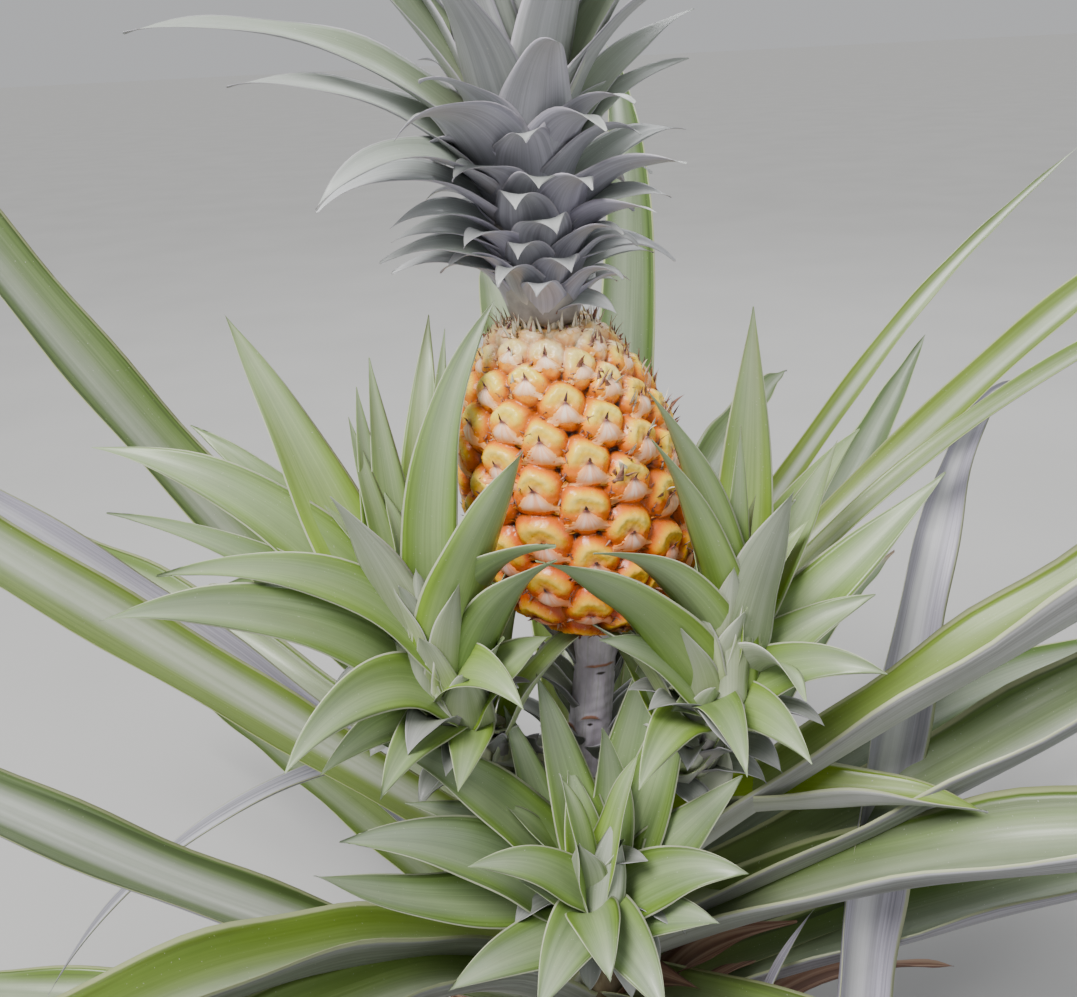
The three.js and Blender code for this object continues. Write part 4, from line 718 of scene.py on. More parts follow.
class Rind:
    """The fruit's surface by angle and distance along its outline, with an eye at each turn of its spiral."""

    def __init__(self):
        u = np.linspace(0, 1, 160)
        z = FRUIT_BASE + FRUIT_HEIGHT * u
        r = fruit_radius(u) - 0.9 * EYE_HEIGHT * np.clip(fruit_radius(u) / 50, 0, 1)
        z = FRUIT_BASE + 4.2 + (FRUIT_HEIGHT - 8.0) * u
        rb = np.linspace(0.3, 1, 14)[:-1]
        lo = np.stack([r[0] * rb, z[0] + 3.0 * (1 - rb) + 0 * rb], -1)
        hi = np.stack([r[-1] * rb[::-1], z[-1] + 1.5 * (1 - rb[::-1])], -1)
        prof = np.vstack([lo, np.stack([r, z], -1), hi])
        for _ in range(3):
            prof[1:-1] = 0.25 * prof[:-2] + 0.5 * prof[1:-1] + 0.25 * prof[2:]
        self.l = np.concatenate([[0], np.cumsum(np.linalg.norm(np.diff(prof, axis=0), axis=1))])
        self.r, self.z = prof[:, 0], prof[:, 1]
        g = unit(np.gradient(prof, axis=0))
        self.nr, self.nz = g[:, 1], -g[:, 0]
        zz = self.z
        mid = (self.l > 25) & (self.l < self.l[-1] - 25)
        k = np.arange(-84, 70)
        ez = EYE_FIRST[1] + EYE_RISE * k + EYE_CHANGE * k * k
        et = EYE_FIRST[0] + EYE_TURN * k
        known = np.array(EYE_SHIFT)
        row = [int(np.where(k == q)[0][0]) for q in known[:, 0]]
        da = ((et[:, None] - et[row][None, :] + 180) % 360 - 180) * 0.95
        near = np.exp(-(da ** 2 + (ez[:, None] - ez[row][None, :]) ** 2) / (2 * 13.0 ** 2))
        gain = np.linalg.solve(near[row] + 0.05 * np.eye(len(row)), known[:, 1:])
        move = near @ gain
        et, ez = et + move[:, 0], ez + move[:, 1]
        el = np.interp(ez, zz[mid], self.l[mid])
        lo_end, hi_end = self.l[mid][0], self.l[mid][-1]
        el = np.where(ez < zz[mid][0], lo_end + (ez - zz[mid][0]) * 1.05, el)
        el = np.where(ez > zz[mid][-1], hi_end + (ez - zz[mid][-1]) * 1.15, el)
        keep = (el > 2) & (el < self.l[-1] - 2)
        self.k, self.el = k[keep], el[keep]
        self.et = et[keep] * D
        self.er = np.interp(self.el, self.l, self.r)
        rng = np.random.default_rng(5)
        self.tone = rng.uniform(0, 1, len(self.k))
        self.push = rng.uniform(0.88, 1.10, len(self.k))
        # the way to each eye's nine nearest neighbours, on the unrolled rind
        da = (self.et[None, :] - self.et[:, None] + math.pi) % (2 * math.pi) - math.pi
        mr = np.maximum(0.5 * (self.er[None, :] + self.er[:, None]), 8)
        X, Y = da * mr, (self.el[None, :] - self.el[:, None])
        dist = X ** 2 + Y ** 2
        near = np.argsort(dist, axis=1)[:, 1:10]
        self.nx, self.ny = np.take_along_axis(X, near, 1), np.take_along_axis(Y, near, 1)

    def at(self, th, l):
        r, z = np.interp(l, self.l, self.r), np.interp(l, self.l, self.z)
        nr, nz = np.interp(l, self.l, self.nr), np.interp(l, self.l, self.nz)
        p = np.stack([axis_x(z) + r * np.cos(th), r * np.sin(th), z], -1)
        n = unit(np.stack([nr * np.cos(th), nr * np.sin(th), nz], -1))
        return p, n

    def field(self, th, l):
        """Relief, and where in its eye each point is: 0 middle to 1 edge, side and height."""
        th, l = np.asarray(th).ravel(), np.asarray(l).ravel()
        out = []
        for a in range(0, len(th), 20000):
            t, q = th[a:a + 20000], l[a:a + 20000]
            R = np.interp(q, self.l, self.r)
            da = (t[:, None] - self.et + math.pi) % (2 * math.pi) - math.pi
            X = da * np.maximum(R, 8)[:, None]
            Y = q[:, None] - self.el
            i = np.argmin(X ** 2 + Y ** 2, axis=1)
            X, Y = X[np.arange(len(t)), i], Y[np.arange(len(t)), i]
            nx, ny = self.nx[i], self.ny[i]
            part = 2 * (X[:, None] * nx + Y[:, None] * ny) / (nx ** 2 + ny ** 2)
            er = (np.maximum(part, 0) ** 5).sum(1) ** 0.2
            out.append(np.stack([er, X, Y, i, R], -1))
        o = np.vstack(out)
        er, X, Y, i, R = o.T
        i = i.astype(int)
        size = np.clip(R / 50, 0.25, 1)
        up = Y / 11.0
        dome = 1 - np.clip(er, 0, 1.22) ** 4.2
        crescent = np.exp(-((er - 0.62) / 0.13) ** 2) * smooth(0.45 + up * 1.3)
        dimple = np.exp(-(er / 0.36) ** 2)
        h = EYE_HEIGHT * size * self.push[i] * (dome * (0.95 + 0.16 * up) + 0.16 * crescent - 0.24 * dimple)
        fade = smooth((R - 9) / 14)
        return h * fade, er, X, Y, i, R


rind = Rind()
NT, NL = 340, 268
th = np.linspace(0, 2 * math.pi, NT, endpoint=False)
ll = np.linspace(0.2, rind.l[-1] - 0.2, NL)
TH, LL = np.meshgrid(th, ll)
h, er, ex, ey, ei, R = rind.field(TH, LL)
p, n = rind.at(TH.ravel(), LL.ravel())
rough_skin = 0.16 * (np.sin(p[:, 0] * 2.1 + 1.3 * np.sin(p[:, 2] * 1.7)) + np.sin(p[:, 1] * 2.6 + 1.1 * np.sin(p[:, 2] * 1.3 + 2)) + np.sin(p[:, 2] * 2.9 + p[:, 0] * 1.9))
p = p + n * (h + rough_skin * smooth((R - 15) / 10))[:, None]
fruit = Joined("fruit_rind", 1)
tone = rind.tone[ei]
height = (p[:, 2] - FRUIT_BASE) / FRUIT_HEIGHT
side = np.clip(ex / 12, -1, 1)
upd = np.clip(ey / 12, -1, 1)
grid_mesh(fruit, p.reshape(NL, NT, 3), 0, 0.37, 0.2, across=side.reshape(NL, NT), along=height.reshape(NL, NT), tint=tone.reshape(NL, NT),
          grey=er.reshape(NL, NT), warm=(upd * 0.5 + 0.5).reshape(NL, NT), size=1.0)

k = Mat("fruit_skin", 0.34, 0.5)
edge, upw, high, tone = k.attr("grey"), k.attr("warm"), k.attr("along"), k.attr("tint")
grain = k.noise(k.obj(), 420.0, 3.0, 0.6)
cloud = k.noise(k.obj(), 95.0, 3.0, 0.55)
sway = k.math("SUBTRACT", cloud, 0.5)
wob = k.math("ADD", edge, k.math("MULTIPLY", sway, 0.26))
body = k.ramp(k.math("ADD", high, k.math("MULTIPLY", sway, 0.22)),
              [(0.02, (0.34, 0.020, 0.003)), (0.28, (0.66, 0.085, 0.002)), (0.60, (0.84, 0.190, 0.001)), (0.88, (0.86, 0.310, 0.004)), (1.0, (0.76, 0.40, 0.07))])
gold_and_top_highlight = k.ramp(high, [(0.0, (0.74, 0.18, 0.004)), (0.30, (0.92, 0.42, 0.001)), (0.62, (0.97, 0.60, 0.004)), (0.88, (0.97, 0.70, 0.04)), (1.0, (0.86, 0.68, 0.20))])
# the upper part of each eye turns gold, partly the fruit's own gold and partly a painted highlight; the bright yellow
# crescent on its upper half below is a painted highlight
c = k.mix(k.math("MULTIPLY", k.step(upw, 0.36, 0.60), k.step(wob, 0.94, 0.70)), body, gold_and_top_highlight)
c = k.mix(k.math("MULTIPLY", k.math("MULTIPLY", k.step(wob, 0.34, 0.52), k.step(wob, 0.74, 0.58)), k.step(upw, 0.42, 0.66, 0.0, 0.75)), c, k.mix(k.step(high, 0.15, 0.7), (0.96, 0.60, 0.05), (0.97, 0.80, 0.16)))
c = k.mix(k.math("MULTIPLY", k.step(wob, 0.40, 0.10), 0.75), c, k.mix(k.step(high, 0.15, 0.7), (0.80, 0.26, 0.07), (0.93, 0.62, 0.22)))
c = k.mix(k.math("MULTIPLY", k.step(wob, 0.20, 0.04), 0.6), c, (0.38, 0.11, 0.06))
c = k.mix(k.math("MULTIPLY", k.step(tone, 0.3, 1.0), 0.35), c, k.mix(1.0, c, (0.90, 0.62, 0.35), "MULTIPLY"))
c = k.mix(k.math("MULTIPLY", k.step(wob, 0.88, 1.02), 0.80), c, (0.50, 0.100, 0.006))
c = k.mix(k.math("MULTIPLY", k.step(k.math("ADD", edge, k.math("MULTIPLY", sway, 0.16)), 1.03, 1.12), k.step(cloud, 0.30, 0.55)), c, (0.060, 0.020, 0.012))
c = k.mix(k.math("MULTIPLY", k.step(grain, 0.62, 0.74), 0.30), c, (0.92, 0.74, 0.60))
c = k.mix(k.math("MULTIPLY", k.step(k.math("ADD", high, k.math("MULTIPLY", sway, 0.3)), 0.85, 1.02), 0.80), c, k.mix(k.step(cloud, 0.3, 0.7), (0.74, 0.50, 0.20), (0.94, 0.80, 0.54)))
k.color(c)
k.rough(k.step(grain, 0.3, 0.7, 0.24, 0.42))
k.bump(k.math("ADD", k.math("MULTIPLY", grain, 0.5), cloud), 0.25, 0.0006)
fruit_skin = k.m

# bracts: a pointed flap over the lower half of each eye, and dry points where three eyes meet
bracts = Joined("fruit_bracts", 9)
rng = np.random.default_rng(11)
NP, NQ = 8, 10
pp = np.linspace(-1, 1, NP + 1)
qq = np.linspace(0, 1, NQ + 1)


def flap(i, b0=-10.6, b1=1.6, base=10.0, lift=0.5, curl=2.6, thick=0.9, power=1.5, slot=0, leanv=0.0):
    size = float(np.clip(rind.er[i] / 50, 0.45, 1.0))
    Q, PQ = np.meshgrid(qq, pp, indexing="ij")
    hw = (base * (1 - Q) ** power * (0.80 + 0.20 * smooth(Q / 0.10)) + 0.85 * (1 - 0.5 * Q)) * size
    a = PQ * hw + leanv * Q
    b = (b0 + (b1 - b0) * Q - 1.7 * PQ ** 2 * (1 - Q) ** 2) * size
    l = rind.el[i] + b
    R = np.interp(l, rind.l, rind.r)
    t = rind.et[i] + a / np.maximum(R, 8)
    h0 = rind.field(t, l)[0].reshape(t.shape)
    # bridge the crease at the flap's foot, lift its tip
    rise = lift * (1 - PQ ** 2) * (0.35 + Q) + 0.55 * (1 - np.abs(PQ)) * (1 - Q) + curl * np.maximum(0, (Q - 0.80) / 0.20) ** 1.6 + 0.35 * Q
    sink = 0.75 * np.abs(PQ) ** 4 * (1 - Q * 0.8) + 1.2 * np.maximum(0, 0.12 - Q) / 0.12
    top = h0 + (rise - sink) * size
    p0, n0 = rind.at(t.ravel(), l.ravel())
    up = p0 + n0 * top.ravel()[:, None]
    th_ = thick * size * (1 - 0.6 * Q) * (1 - PQ ** 2 * 0.9)
    dn = p0 + n0 * (top - th_).ravel()[:, None]
    up, dn = up.reshape(NQ + 1, NP + 1, 3), dn.reshape(NQ + 1, NP + 1, 3)
    ring = np.concatenate([up, dn[:, -2:0:-1]], 1)
    rp = np.concatenate([pp, pp[-2:0:-1]])
    grid_mesh(bracts, ring, slot, 0.02, 0.013, uoff=rng.uniform(0, 3), voff=rng.uniform(0, 3), across=np.broadcast_to(rp, ring.shape[:2]),
              along=np.broadcast_to(qq[:, None], ring.shape[:2]), tint=float(rng.uniform(0, 1)), warm=float((rind.el[i]) / rind.l[-1]), grey=0.0, size=size)
    t0 = rind.et[i] + leanv / max(rind.er[i], 8)
    e = np.array([-math.sin(t0), math.cos(t0), 0.0])
    n1 = n0.reshape(NQ + 1, NP + 1, 3)[-1, NP // 2]
    up1 = np.cross(n1, e)
    return up[-1, NP // 2], n1, up1 if up1[2] > 0 else -up1, e


def point(foot, d, side, length, width, slot=1, tint=0.5, thick=0.5, curve=0.25, segs=4):
    """A small dry point: a flat tapering blade."""
    d, side = unit(np.asarray(d, float)), np.asarray(side, float)
    side = unit(side - d * side.dot(d))
    n = np.cross(d, side)
    q = np.linspace(0, 1, segs + 1)
    c = foot + np.outer(q * length, d) + np.outer(q ** 2 * length * curve, n)
    w = width * (1 - q) ** 0.8 + 0.06
    t = thick * (1 - q) + 0.05
    ring = np.stack([c + side * w[:, None], c + n * t[:, None], c - side * w[:, None], c - n * t[:, None]], 1)
    grid_mesh(bracts, ring, slot, 0.004, 0.01, uoff=rng.uniform(0, 3), voff=rng.uniform(0, 3), along=np.broadcast_to(q[:, None], (segs + 1, 4)), tint=tint, across=0.0)


for i in range(len(rind.k)):
    if rind.er[i] < 17 or rind.el[i] < 16:
        continue
    apex, out_at, up_at, side_at = flap(i, lift=0.35 + 0.25 * rng.random(), curl=1.2 + 1.2 * rng.random(), base=16.2 + 1.6 * rng.random(), power=1.22, b1=1.0, b0=-11.2, leanv=rng.uniform(-0.8, 0.8))
    point(apex - out_at * 0.5, out_at * rng.uniform(0.45, 1.0) + up_at * rng.uniform(0.5, 1.0) + side_at * rng.uniform(-.35, .35), side_at, rng.uniform(2.0, 5.2) * (0.6 + 0.4 * min(1.0, rind.er[i] / 50)), rng.uniform(0.6, 1.0), 3, float(rng.random()), curve=rng.uniform(-.35, .15))
    size = float(np.clip(rind.er[i] / 50, 0.45, 1.0))
    for s in (-1, 1):
        for _ in range(3):
            l = rind.el[i] + rng.uniform(-8.5, -3.0) * size
            t = rind.et[i] + s * rng.uniform(9.5, 11.5) * size / max(rind.er[i], 10)
            h0 = rind.field(np.array([t]), np.array([l]))[0][0]
            p0, n0 = rind.at(np.array([t]), np.array([l]))
            p0, n0 = p0[0], n0[0]
            e = np.array([-math.sin(t), math.cos(t), 0])
            up = np.cross(n0, e)
            up = up if up[2] > 0 else -up
            a = rng.uniform(0, 6.28)
            point(p0 + n0 * (h0 - 0.5), n0 * rng.uniform(0.35, 0.9) + up * math.sin(a) * 0.9 + e * math.cos(a) * 0.9, e + up * rng.uniform(-.8, .8),
                  rng.uniform(2.6, 5.2) * (0.6 + 0.4 * size), rng.uniform(0.45, 1.0), 1, float(rng.random()), curve=rng.uniform(-.5, .5))
# dry pointed bracts that stand out from the eyes on the fruit's shoulder, most of them on one side
for i in range(len(rind.k)):
    face = math.cos(rind.et[i] - 5 * D)
    tall = rind.el[i] / rind.l[-1]
    if rind.er[i] < 20 or tall < 0.50 or (face < 0.35 and tall < 0.80):
        continue
    for _ in range(5 if face > 0.35 else 1):
        size = float(np.clip(rind.er[i] / 50, 0.5, 1.0))
        l = rind.el[i] + rng.uniform(-8, 4) * size
        t = rind.et[i] + rng.uniform(-9, 9) * size / max(rind.er[i], 10)
        h0 = rind.field(np.array([t]), np.array([l]))[0][0]
        p0, n0 = rind.at(np.array([t]), np.array([l]))
        p0, n0 = p0[0], n0[0]
        e = np.array([-math.sin(t), math.cos(t), 0])
        up = np.cross(n0, e)
        up = up if up[2] > 0 else -up
        point(p0 + n0 * (h0 - 0.8), n0 * rng.uniform(0.35, 0.8) + up * rng.uniform(0.5, 1.0) + e * rng.uniform(-.6, .6), e + n0 * rng.uniform(-.3, .3),
              rng.uniform(6.0, 11.5) * (0.5 + 0.5 * size), rng.uniform(1.6, 3.0) * size, 1 if rng.random() < 0.55 else 2, float(rng.random()), thick=0.4, curve=rng.uniform(-.5, .2))
# a crowd of thin pale bracts on the fruit's shoulder under the crown
for i in range(150):
    t = rng.uniform(0, 2 * math.pi)
    l = rind.l[-1] - rng.uniform(3, 20) * (0.35 + 0.65 * rng.random())
    h0 = rind.field(np.array([t]), np.array([l]))[0][0]
    p0, n0 = rind.at(np.array([t]), np.array([l]))
    p0, n0 = p0[0], n0[0]
    e = np.array([-math.sin(t), math.cos(t), 0])
    point(p0 + n0 * (h0 - 0.5), np.array([0, 0, 1.0]) * rng.uniform(0.5, 1.1) + n0 * rng.uniform(0.25, 0.9) + e * rng.uniform(-.5, .5), e, rng.uniform(5, 11), rng.uniform(0.8, 1.9), 2 if rng.random() < 0.88 else 1, float(rng.random()), curve=rng.uniform(-.5, .3))

k = Mat("bract_skin", 0.42)
along, high, wide = k.attr("along"), k.attr("warm"), k.math("ABSOLUTE", k.attr("across"))
fib = k.noise(k.uv((700, 40, 1)), 1.0, 2.0, 0.6)
cloud = k.noise(k.obj(), 160.0, 3.0, 0.6)
w = k.math("ADD", along, k.math("MULTIPLY", k.math("SUBTRACT", cloud, 0.5), 0.30))
foot = k.ramp(high, [(0.0, (0.46, 0.060, 0.016)), (0.35, (0.82, 0.22, 0.018)), (0.7, (0.93, 0.42, 0.040)), (1.0, (0.80, 0.58, 0.22))])
pink = k.ramp(high, [(0.0, (0.66, 0.16, 0.09)), (0.35, (0.93, 0.35, 0.16)), (0.7, (0.97, 0.48, 0.19)), (1.0, (0.93, 0.72, 0.44))])
white_and_highlight = k.ramp(high, [(0.0, (0.80, 0.38, 0.33)), (0.35, (0.97, 0.61, 0.53)), (0.7, (0.99, 0.74, 0.61)), (1.0, (0.97, 0.87, 0.72))])
c = k.mix(k.step(w, 0.00, 0.14), foot, pink)
# whitish streaks down the bract's middle: partly its own pale colour, partly a painted highlight
c = k.mix(k.math("MULTIPLY", k.math("MULTIPLY", k.step(w, 0.10, 0.42), k.step(wide, 0.80, 0.10, 0.0, 0.92)), k.step(fib, 0.34, 0.60, 0.30, 0.95)), c, white_and_highlight)
c = k.mix(k.math("MULTIPLY", k.step(wide, 0.45, 0.95), k.step(along, 0.85, 0.3, 0.4, 0.9)), c, foot)
c = k.mix(k.math("MULTIPLY", k.step(fib, 0.58, 0.44), 0.35), c, k.mix(1.0, c, (0.90, 0.52, 0.34), "MULTIPLY"))
c = k.mix(k.math("MULTIPLY", k.step(w, 0.74, 0.92), 0.9), c, (0.230, 0.070, 0.085))
k.color(c)
k.rough(k.step(cloud, 0.3, 0.7, 0.32, 0.52))
k.bump(fib, 0.35, 0.0005)
bract_skin = k.m

bract_tip = plain_material("bract_tip", [(0.3, (0.050, 0.018, 0.024)), (0.5, (0.110, 0.045, 0.055)), (0.7, (0.24, 0.12, 0.12))], 300.0, 0.5, 0.2)
bract_dry = plain_material("bract_dry", [(0.3, (0.085, 0.030, 0.020)), (0.5, (0.30, 0.13, 0.085)), (0.7, (0.56, 0.34, 0.25))], 260.0, 0.6, 0.3)
bract_pale = plain_material("bract_pale", [(0.3, (0.40, 0.36, 0.22)), (0.5, (0.62, 0.56, 0.42)), (0.72, (0.82, 0.77, 0.68))], 200.0, 0.6, 0.3)

# ------------------------------------------------------------------ stalk, stem, shoots
solid = Joined("fruit_stalk_skin", 1)
zs = np.linspace(338.0, 441.0, 110)
rs = np.interp(zs, [338, 365, 398, 412, 420, 430, 441], [13.6, 12, 11.2, 11.0, 12.6, 13.8, 15])
an = 2 * math.pi * np.arange(64) / 64
Z, A = np.meshgrid(zs, an, indexing="ij")
rel = 0.22 * np.sin(A * 5 + Z * 0.05) + 0.16 * np.sin(A * 11 + 1.3 + 0.2 * np.sin(Z * 0.1)) + 0.12 * np.sin(Z * 0.9 + 2 * np.sin(A * 2)) + 0.10 * np.sin(A * 23 + Z * 0.31)
scar = np.zeros_like(Z)
pit_shade = np.zeros_like(Z)
for az, zc, w, hgt in ((-76, 409.0, 60, 2.6), (-96, 377.0, 34, 4.0), (40, 392.0, 34, 4.0), (150, 404.0, 30, 4.2), (205, 368.0, 34, 4.5), (95, 362.0, 30, 4.0)):
    da = ((A / D - az + 180) % 360 - 180) / w
    lip = np.exp(-((Z - (zc + 3.5 - hgt * da ** 2)) / 1.15) ** 2) * smooth(1.25 - np.abs(da))
    bowl = np.exp(-(da / 0.62) ** 2 - ((Z - zc + 1.0) / 2.6) ** 2)
    rel += 1.15 * lip - 0.9 * bowl
    scar = np.maximum(scar, lip)
    pit_shade = np.maximum(pit_shade, np.exp(-(da / 0.30) ** 2 - ((Z - zc + 2.0) / 1.1) ** 2))
rr = rs[:, None] + rel
P = np.stack([axis_x(Z) + rr * np.cos(A), rr * np.sin(A), Z], -1)
grid_mesh(solid, P, 0, 0.075, 0.103, along=scar, warm=pit_shade, grey=(Z - 338) / 103)
k = Mat("stalk_wax", 0.44)
wax = k.noise(k.obj((1, 1, 0.4)), 120.0, 4.0, 0.6)
fib = k.noise(k.uv((700, 20, 1)), 1.0, 2.0, 0.5)
c = k.ramp(wax, [(0.30, (0.46, 0.40, 0.49)), (0.5, (0.64, 0.57, 0.69)), (0.70, (0.82, 0.76, 0.86))])
c = k.mix(k.math("MULTIPLY", k.step(fib, 0.5, 0.68), 0.30), c, (0.40, 0.40, 0.34))
c = k.mix(k.step(k.attr("along"), 0.25, 0.75, 0.0, 0.92), c, k.mix(wax, (0.28, 0.075, 0.030), (0.62, 0.30, 0.16)))
# painted shade: the hollow inside each scar is painted near black
c = k.mix(k.step(k.attr("warm"), 0.3, 0.8), c, (0.03, 0.018, 0.014))
k.color(c)
k.rough(k.step(wax, 0.3, 0.7, 0.34, 0.54))
k.bump(k.math("ADD", wax, k.math("MULTIPLY", fib, 0.5)), 0.3, 0.0005)
stalk_wax = k.m

stem = Joined("stem_skin", 2)
zs = np.linspace(0.0, 341.0, 170)
Z, A = np.meshgrid(zs, 2 * math.pi * np.arange(56) / 56, indexing="ij")
rs = np.interp(Z, STEM_Z, STEM_R)
rel = 0.9 * np.abs(np.sin(Z / 11.0 * math.pi / 2 + 0.8 * np.sin(A))) ** 3 + 0.4 * np.sin(A * 9 + np.sin(Z * 0.13) * 2) + 0.3 * np.sin(A * 17 + Z * 0.11)
rr = rs * 0.985 + rel - 0.6
P = np.stack([axis_x(Z) + rr * np.cos(A), rr * np.sin(A), Z], -1)
grid_mesh(stem, P, 0, 0.16, 0.34)
stem_bark = plain_material("stem_bark", [(0.3, (0.075, 0.050, 0.030)), (0.5, (0.19, 0.14, 0.085)), (0.7, (0.36, 0.30, 0.20))], 70.0, 0.8, 0.5, (1, 1, 0.35))

slips = Joined("slip_shoots", 2)
for key in ("L", "R", "F"):
    path = SHOOT_PATHS[key].copy()
    path = path[:-2]
    path[:, 3] *= np.interp(np.arange(len(path)), [0, len(path) * 0.55, len(path) - 1], [0.92, 0.72, 0.25])
    rel = np.stack([0.3 * np.sin(np.arange(28) * 0.9 + i) for i in range(len(path))])
    grid_mesh(slips, tube_rings(path, 28, rel), 0, 0.09, 0.12)
core_flesh = plain_material("core_flesh", [(0.3, (0.20, 0.18, 0.17)), (0.5, (0.32, 0.29, 0.27)), (0.7, (0.48, 0.43, 0.37))], 80.0, 0.5, 0.2)
slip_flesh = plain_material("slip_flesh", [(0.3, (0.30, 0.34, 0.18)), (0.5, (0.48, 0.50, 0.32)), (0.7, (0.66, 0.64, 0.54))], 80.0, 0.5, 0.2)

sucker = Joined("sucker_skin", 1)
path = SHOOT_PATHS["S"].copy()
rel = np.stack([0.6 * np.abs(np.sin(i * 0.9)) + 0.4 * np.sin(np.arange(28) * 0.9 + i) for i in range(len(path))])
P = tube_rings(path, 28, rel)
P[..., 2] = np.maximum(P[..., 2], 0.3)
grid_mesh(sucker, P, 0, 0.08, 0.2)

core = Joined("crown_core", 1)
zs = np.linspace(599.0, 712.0, 50)
Z, A = np.meshgrid(zs, 2 * math.pi * np.arange(36) / 36, indexing="ij")
rr = np.interp(Z, [599] + CORE_Z, [15] + CORE_R) - 0.5 + 0.3 * np.sin(A * 8 + Z * 0.2)
P = np.stack([axis_x(Z) + rr * np.cos(A), rr * np.sin(A), Z], -1)
grid_mesh(core, P, 0, 0.12, 0.11)

# ------------------------------------------------------------------ leaves
rng = np.random.default_rng(3)
straps = Joined("strap_leaves", 3)
for row in STRAP_LEAVES:
    g, w, ch = STYLE.get(row[0], (rng.uniform(.3, .7), rng.uniform(.05, .35), .65))
    pale, shade = HIGHLIGHT_BANDED.get(row[0], (0.1, None))
    leaf(straps, row, "strap", "M", rng, mats=(1, 1) if row[0] in SILVERY else (0, 1), grey=g, warm=w, channel=ch, tip_dry=0.8 if rng.random() < 0.5 and row[0] != "h" else 0.0, floor=1.0, pale=pale, shade=shade)
sucker_blades = Joined("sucker_leaves", 1)
for row in SUCKER_LEAVES:
    g, w, ch = STYLE.get(row[0], (.5, .2, .6))
    pale, shade = HIGHLIGHT_BANDED.get(row[0], (0.1, None))
    leaf(sucker_blades, row, "strap", "S", rng, mats=(1, 1) if row[0] in SILVERY else (0, 1), grey=g, warm=w, channel=ch, floor=1.0, pale=pale, shade=shade)

plantlets = Joined("slip_leaves", 6)


def to_angles(d):
    return math.degrees(math.atan2(d[1], d[0])) % 360, math.degrees(math.asin(max(-1.0, min(1.0, float(d[2])))))


def young(host, count, seed):
    """Young leaves that fill a plantlet's heart, in a spiral round its shoot's tip."""
    r = np.random.default_rng(seed)
    path = SHOOT_PATHS[host]
    out = []
    for i in range(count):
        az = (i * GOLDEN + r.uniform(-12, 12)) % 360
        f = i / (count - 1)
        el = 66 + 20 * f + r.uniform(-4, 4)
        bend = -50 + 34 * f
        L = (92 + 42 * math.sin(f * 2.6)) * r.uniform(0.85, 1.1)
        k = int((0.46 + 0.53 * f) * (len(path) - 1))
        foot = path[k, :3] + np.array([math.cos(az * D), math.sin(az * D), 0.2]) * (12 - 8 * f)
        if host != "F" and math.cos((az - 90) * D) > 0.35:
            L *= 0.8
        if math.cos((az + 90) * D) > 0.25:
            L *= 0.60
            el += 14 * (1 - f)
            bend *= 0.6
        if host == "F":
            L *= 0.66
        out.append([f"y{i}", *foot, az, el, bend, 1.9, 0, L, 22 + 8 * (1 - f), 0, 0])
    return out


def scales(host, count, seed, first=0.12, last=0.86):
    """Short broad leaves that cover the lower part of a plantlet's shoot, in a spiral round it."""
    r = np.random.default_rng(seed)
    path = SHOOT_PATHS[host]
    out = []
    for i in range(count):
        f = first + (last - first) * i / (count - 1)
        k = int(f * (len(path) - 1))
        tang = unit(path[min(k + 1, len(path) - 1), :3] - path[max(k - 1, 0), :3])
        e1 = unit(np.cross(tang, [0.2, 1.0, 0.1]))
        e2 = np.cross(tang, e1)
        a = i * GOLDEN * D + r.uniform(-.2, .2)
        o = e1 * math.cos(a) + e2 * math.sin(a)
        lean = (36 + r.uniform(-8, 8)) * D
        d = tang * math.cos(lean) + o * math.sin(lean)
        az, el = to_angles(d)
        foot = path[k, :3] + o * (path[k, 3] * 0.98) + tang * 5
        L = (20 + 24 * f) * r.uniform(0.85, 1.2)
        W = (14 + 9 * f) * r.uniform(0.9, 1.1)
        out.append([f"s{i}", *foot, az, el, -58 - 26 * r.random(), 1.5, r.uniform(-10, 10), L, W, r.uniform(-10, 10), 0])
    return out


# how much steeper and longer some leaves are, which keeps them clear of the leaves beside them
CLEAR = {"L11": (1.8, 1.0), "L12": (-1.3, 1.0), "F05": (0.0, 0.93)}
for host, rows in (("L", SLIP_LEFT), ("R", SLIP_RIGHT), ("F", SLIP_FRONT)):
    for row in rows:
        more, scale = CLEAR.get(row[0], (0.0, 1.0))
        row = row[:5] + [row[5] + more] + row[6:9] + [row[9] * scale] + row[10:]
        both = row[0] in ("L15", "L16", "L17", "R03", "R04", "R05", "R06")
        leaf(plantlets, row, "slip", host, rng, mats=(0, 0) if both else (0, 1), grey=rng.uniform(.15, .6) + (.25 if host == "F" else 0), warm=rng.uniform(.2, .7) * (.35 if host == "F" else 1), channel=.32, wave=0.9, frost=.15, shade=rng.uniform(.5, 1) if host == "F" else None)
    for row in young(host, {"L": 17, "R": 17, "F": 10}[host], {"L": 21, "R": 22, "F": 23}[host]):
        leaf(plantlets, row, "slip", host, rng, grey=rng.uniform(.1, .4), warm=rng.uniform(.5, .95) * (.5 if host == "F" else 1), channel=.42, wave=0.9, frost=.15)
    for row in scales(host, {"L": 22, "R": 20, "F": 16}[host], {"L": 31, "R": 32, "F": 33}[host]):
        leaf(plantlets, row, "slip", host, rng, mats=(2, 3), grey=rng.uniform(.4, .9), warm=rng.uniform(.0, .3), channel=.5, wave=0.9, frost=.15)

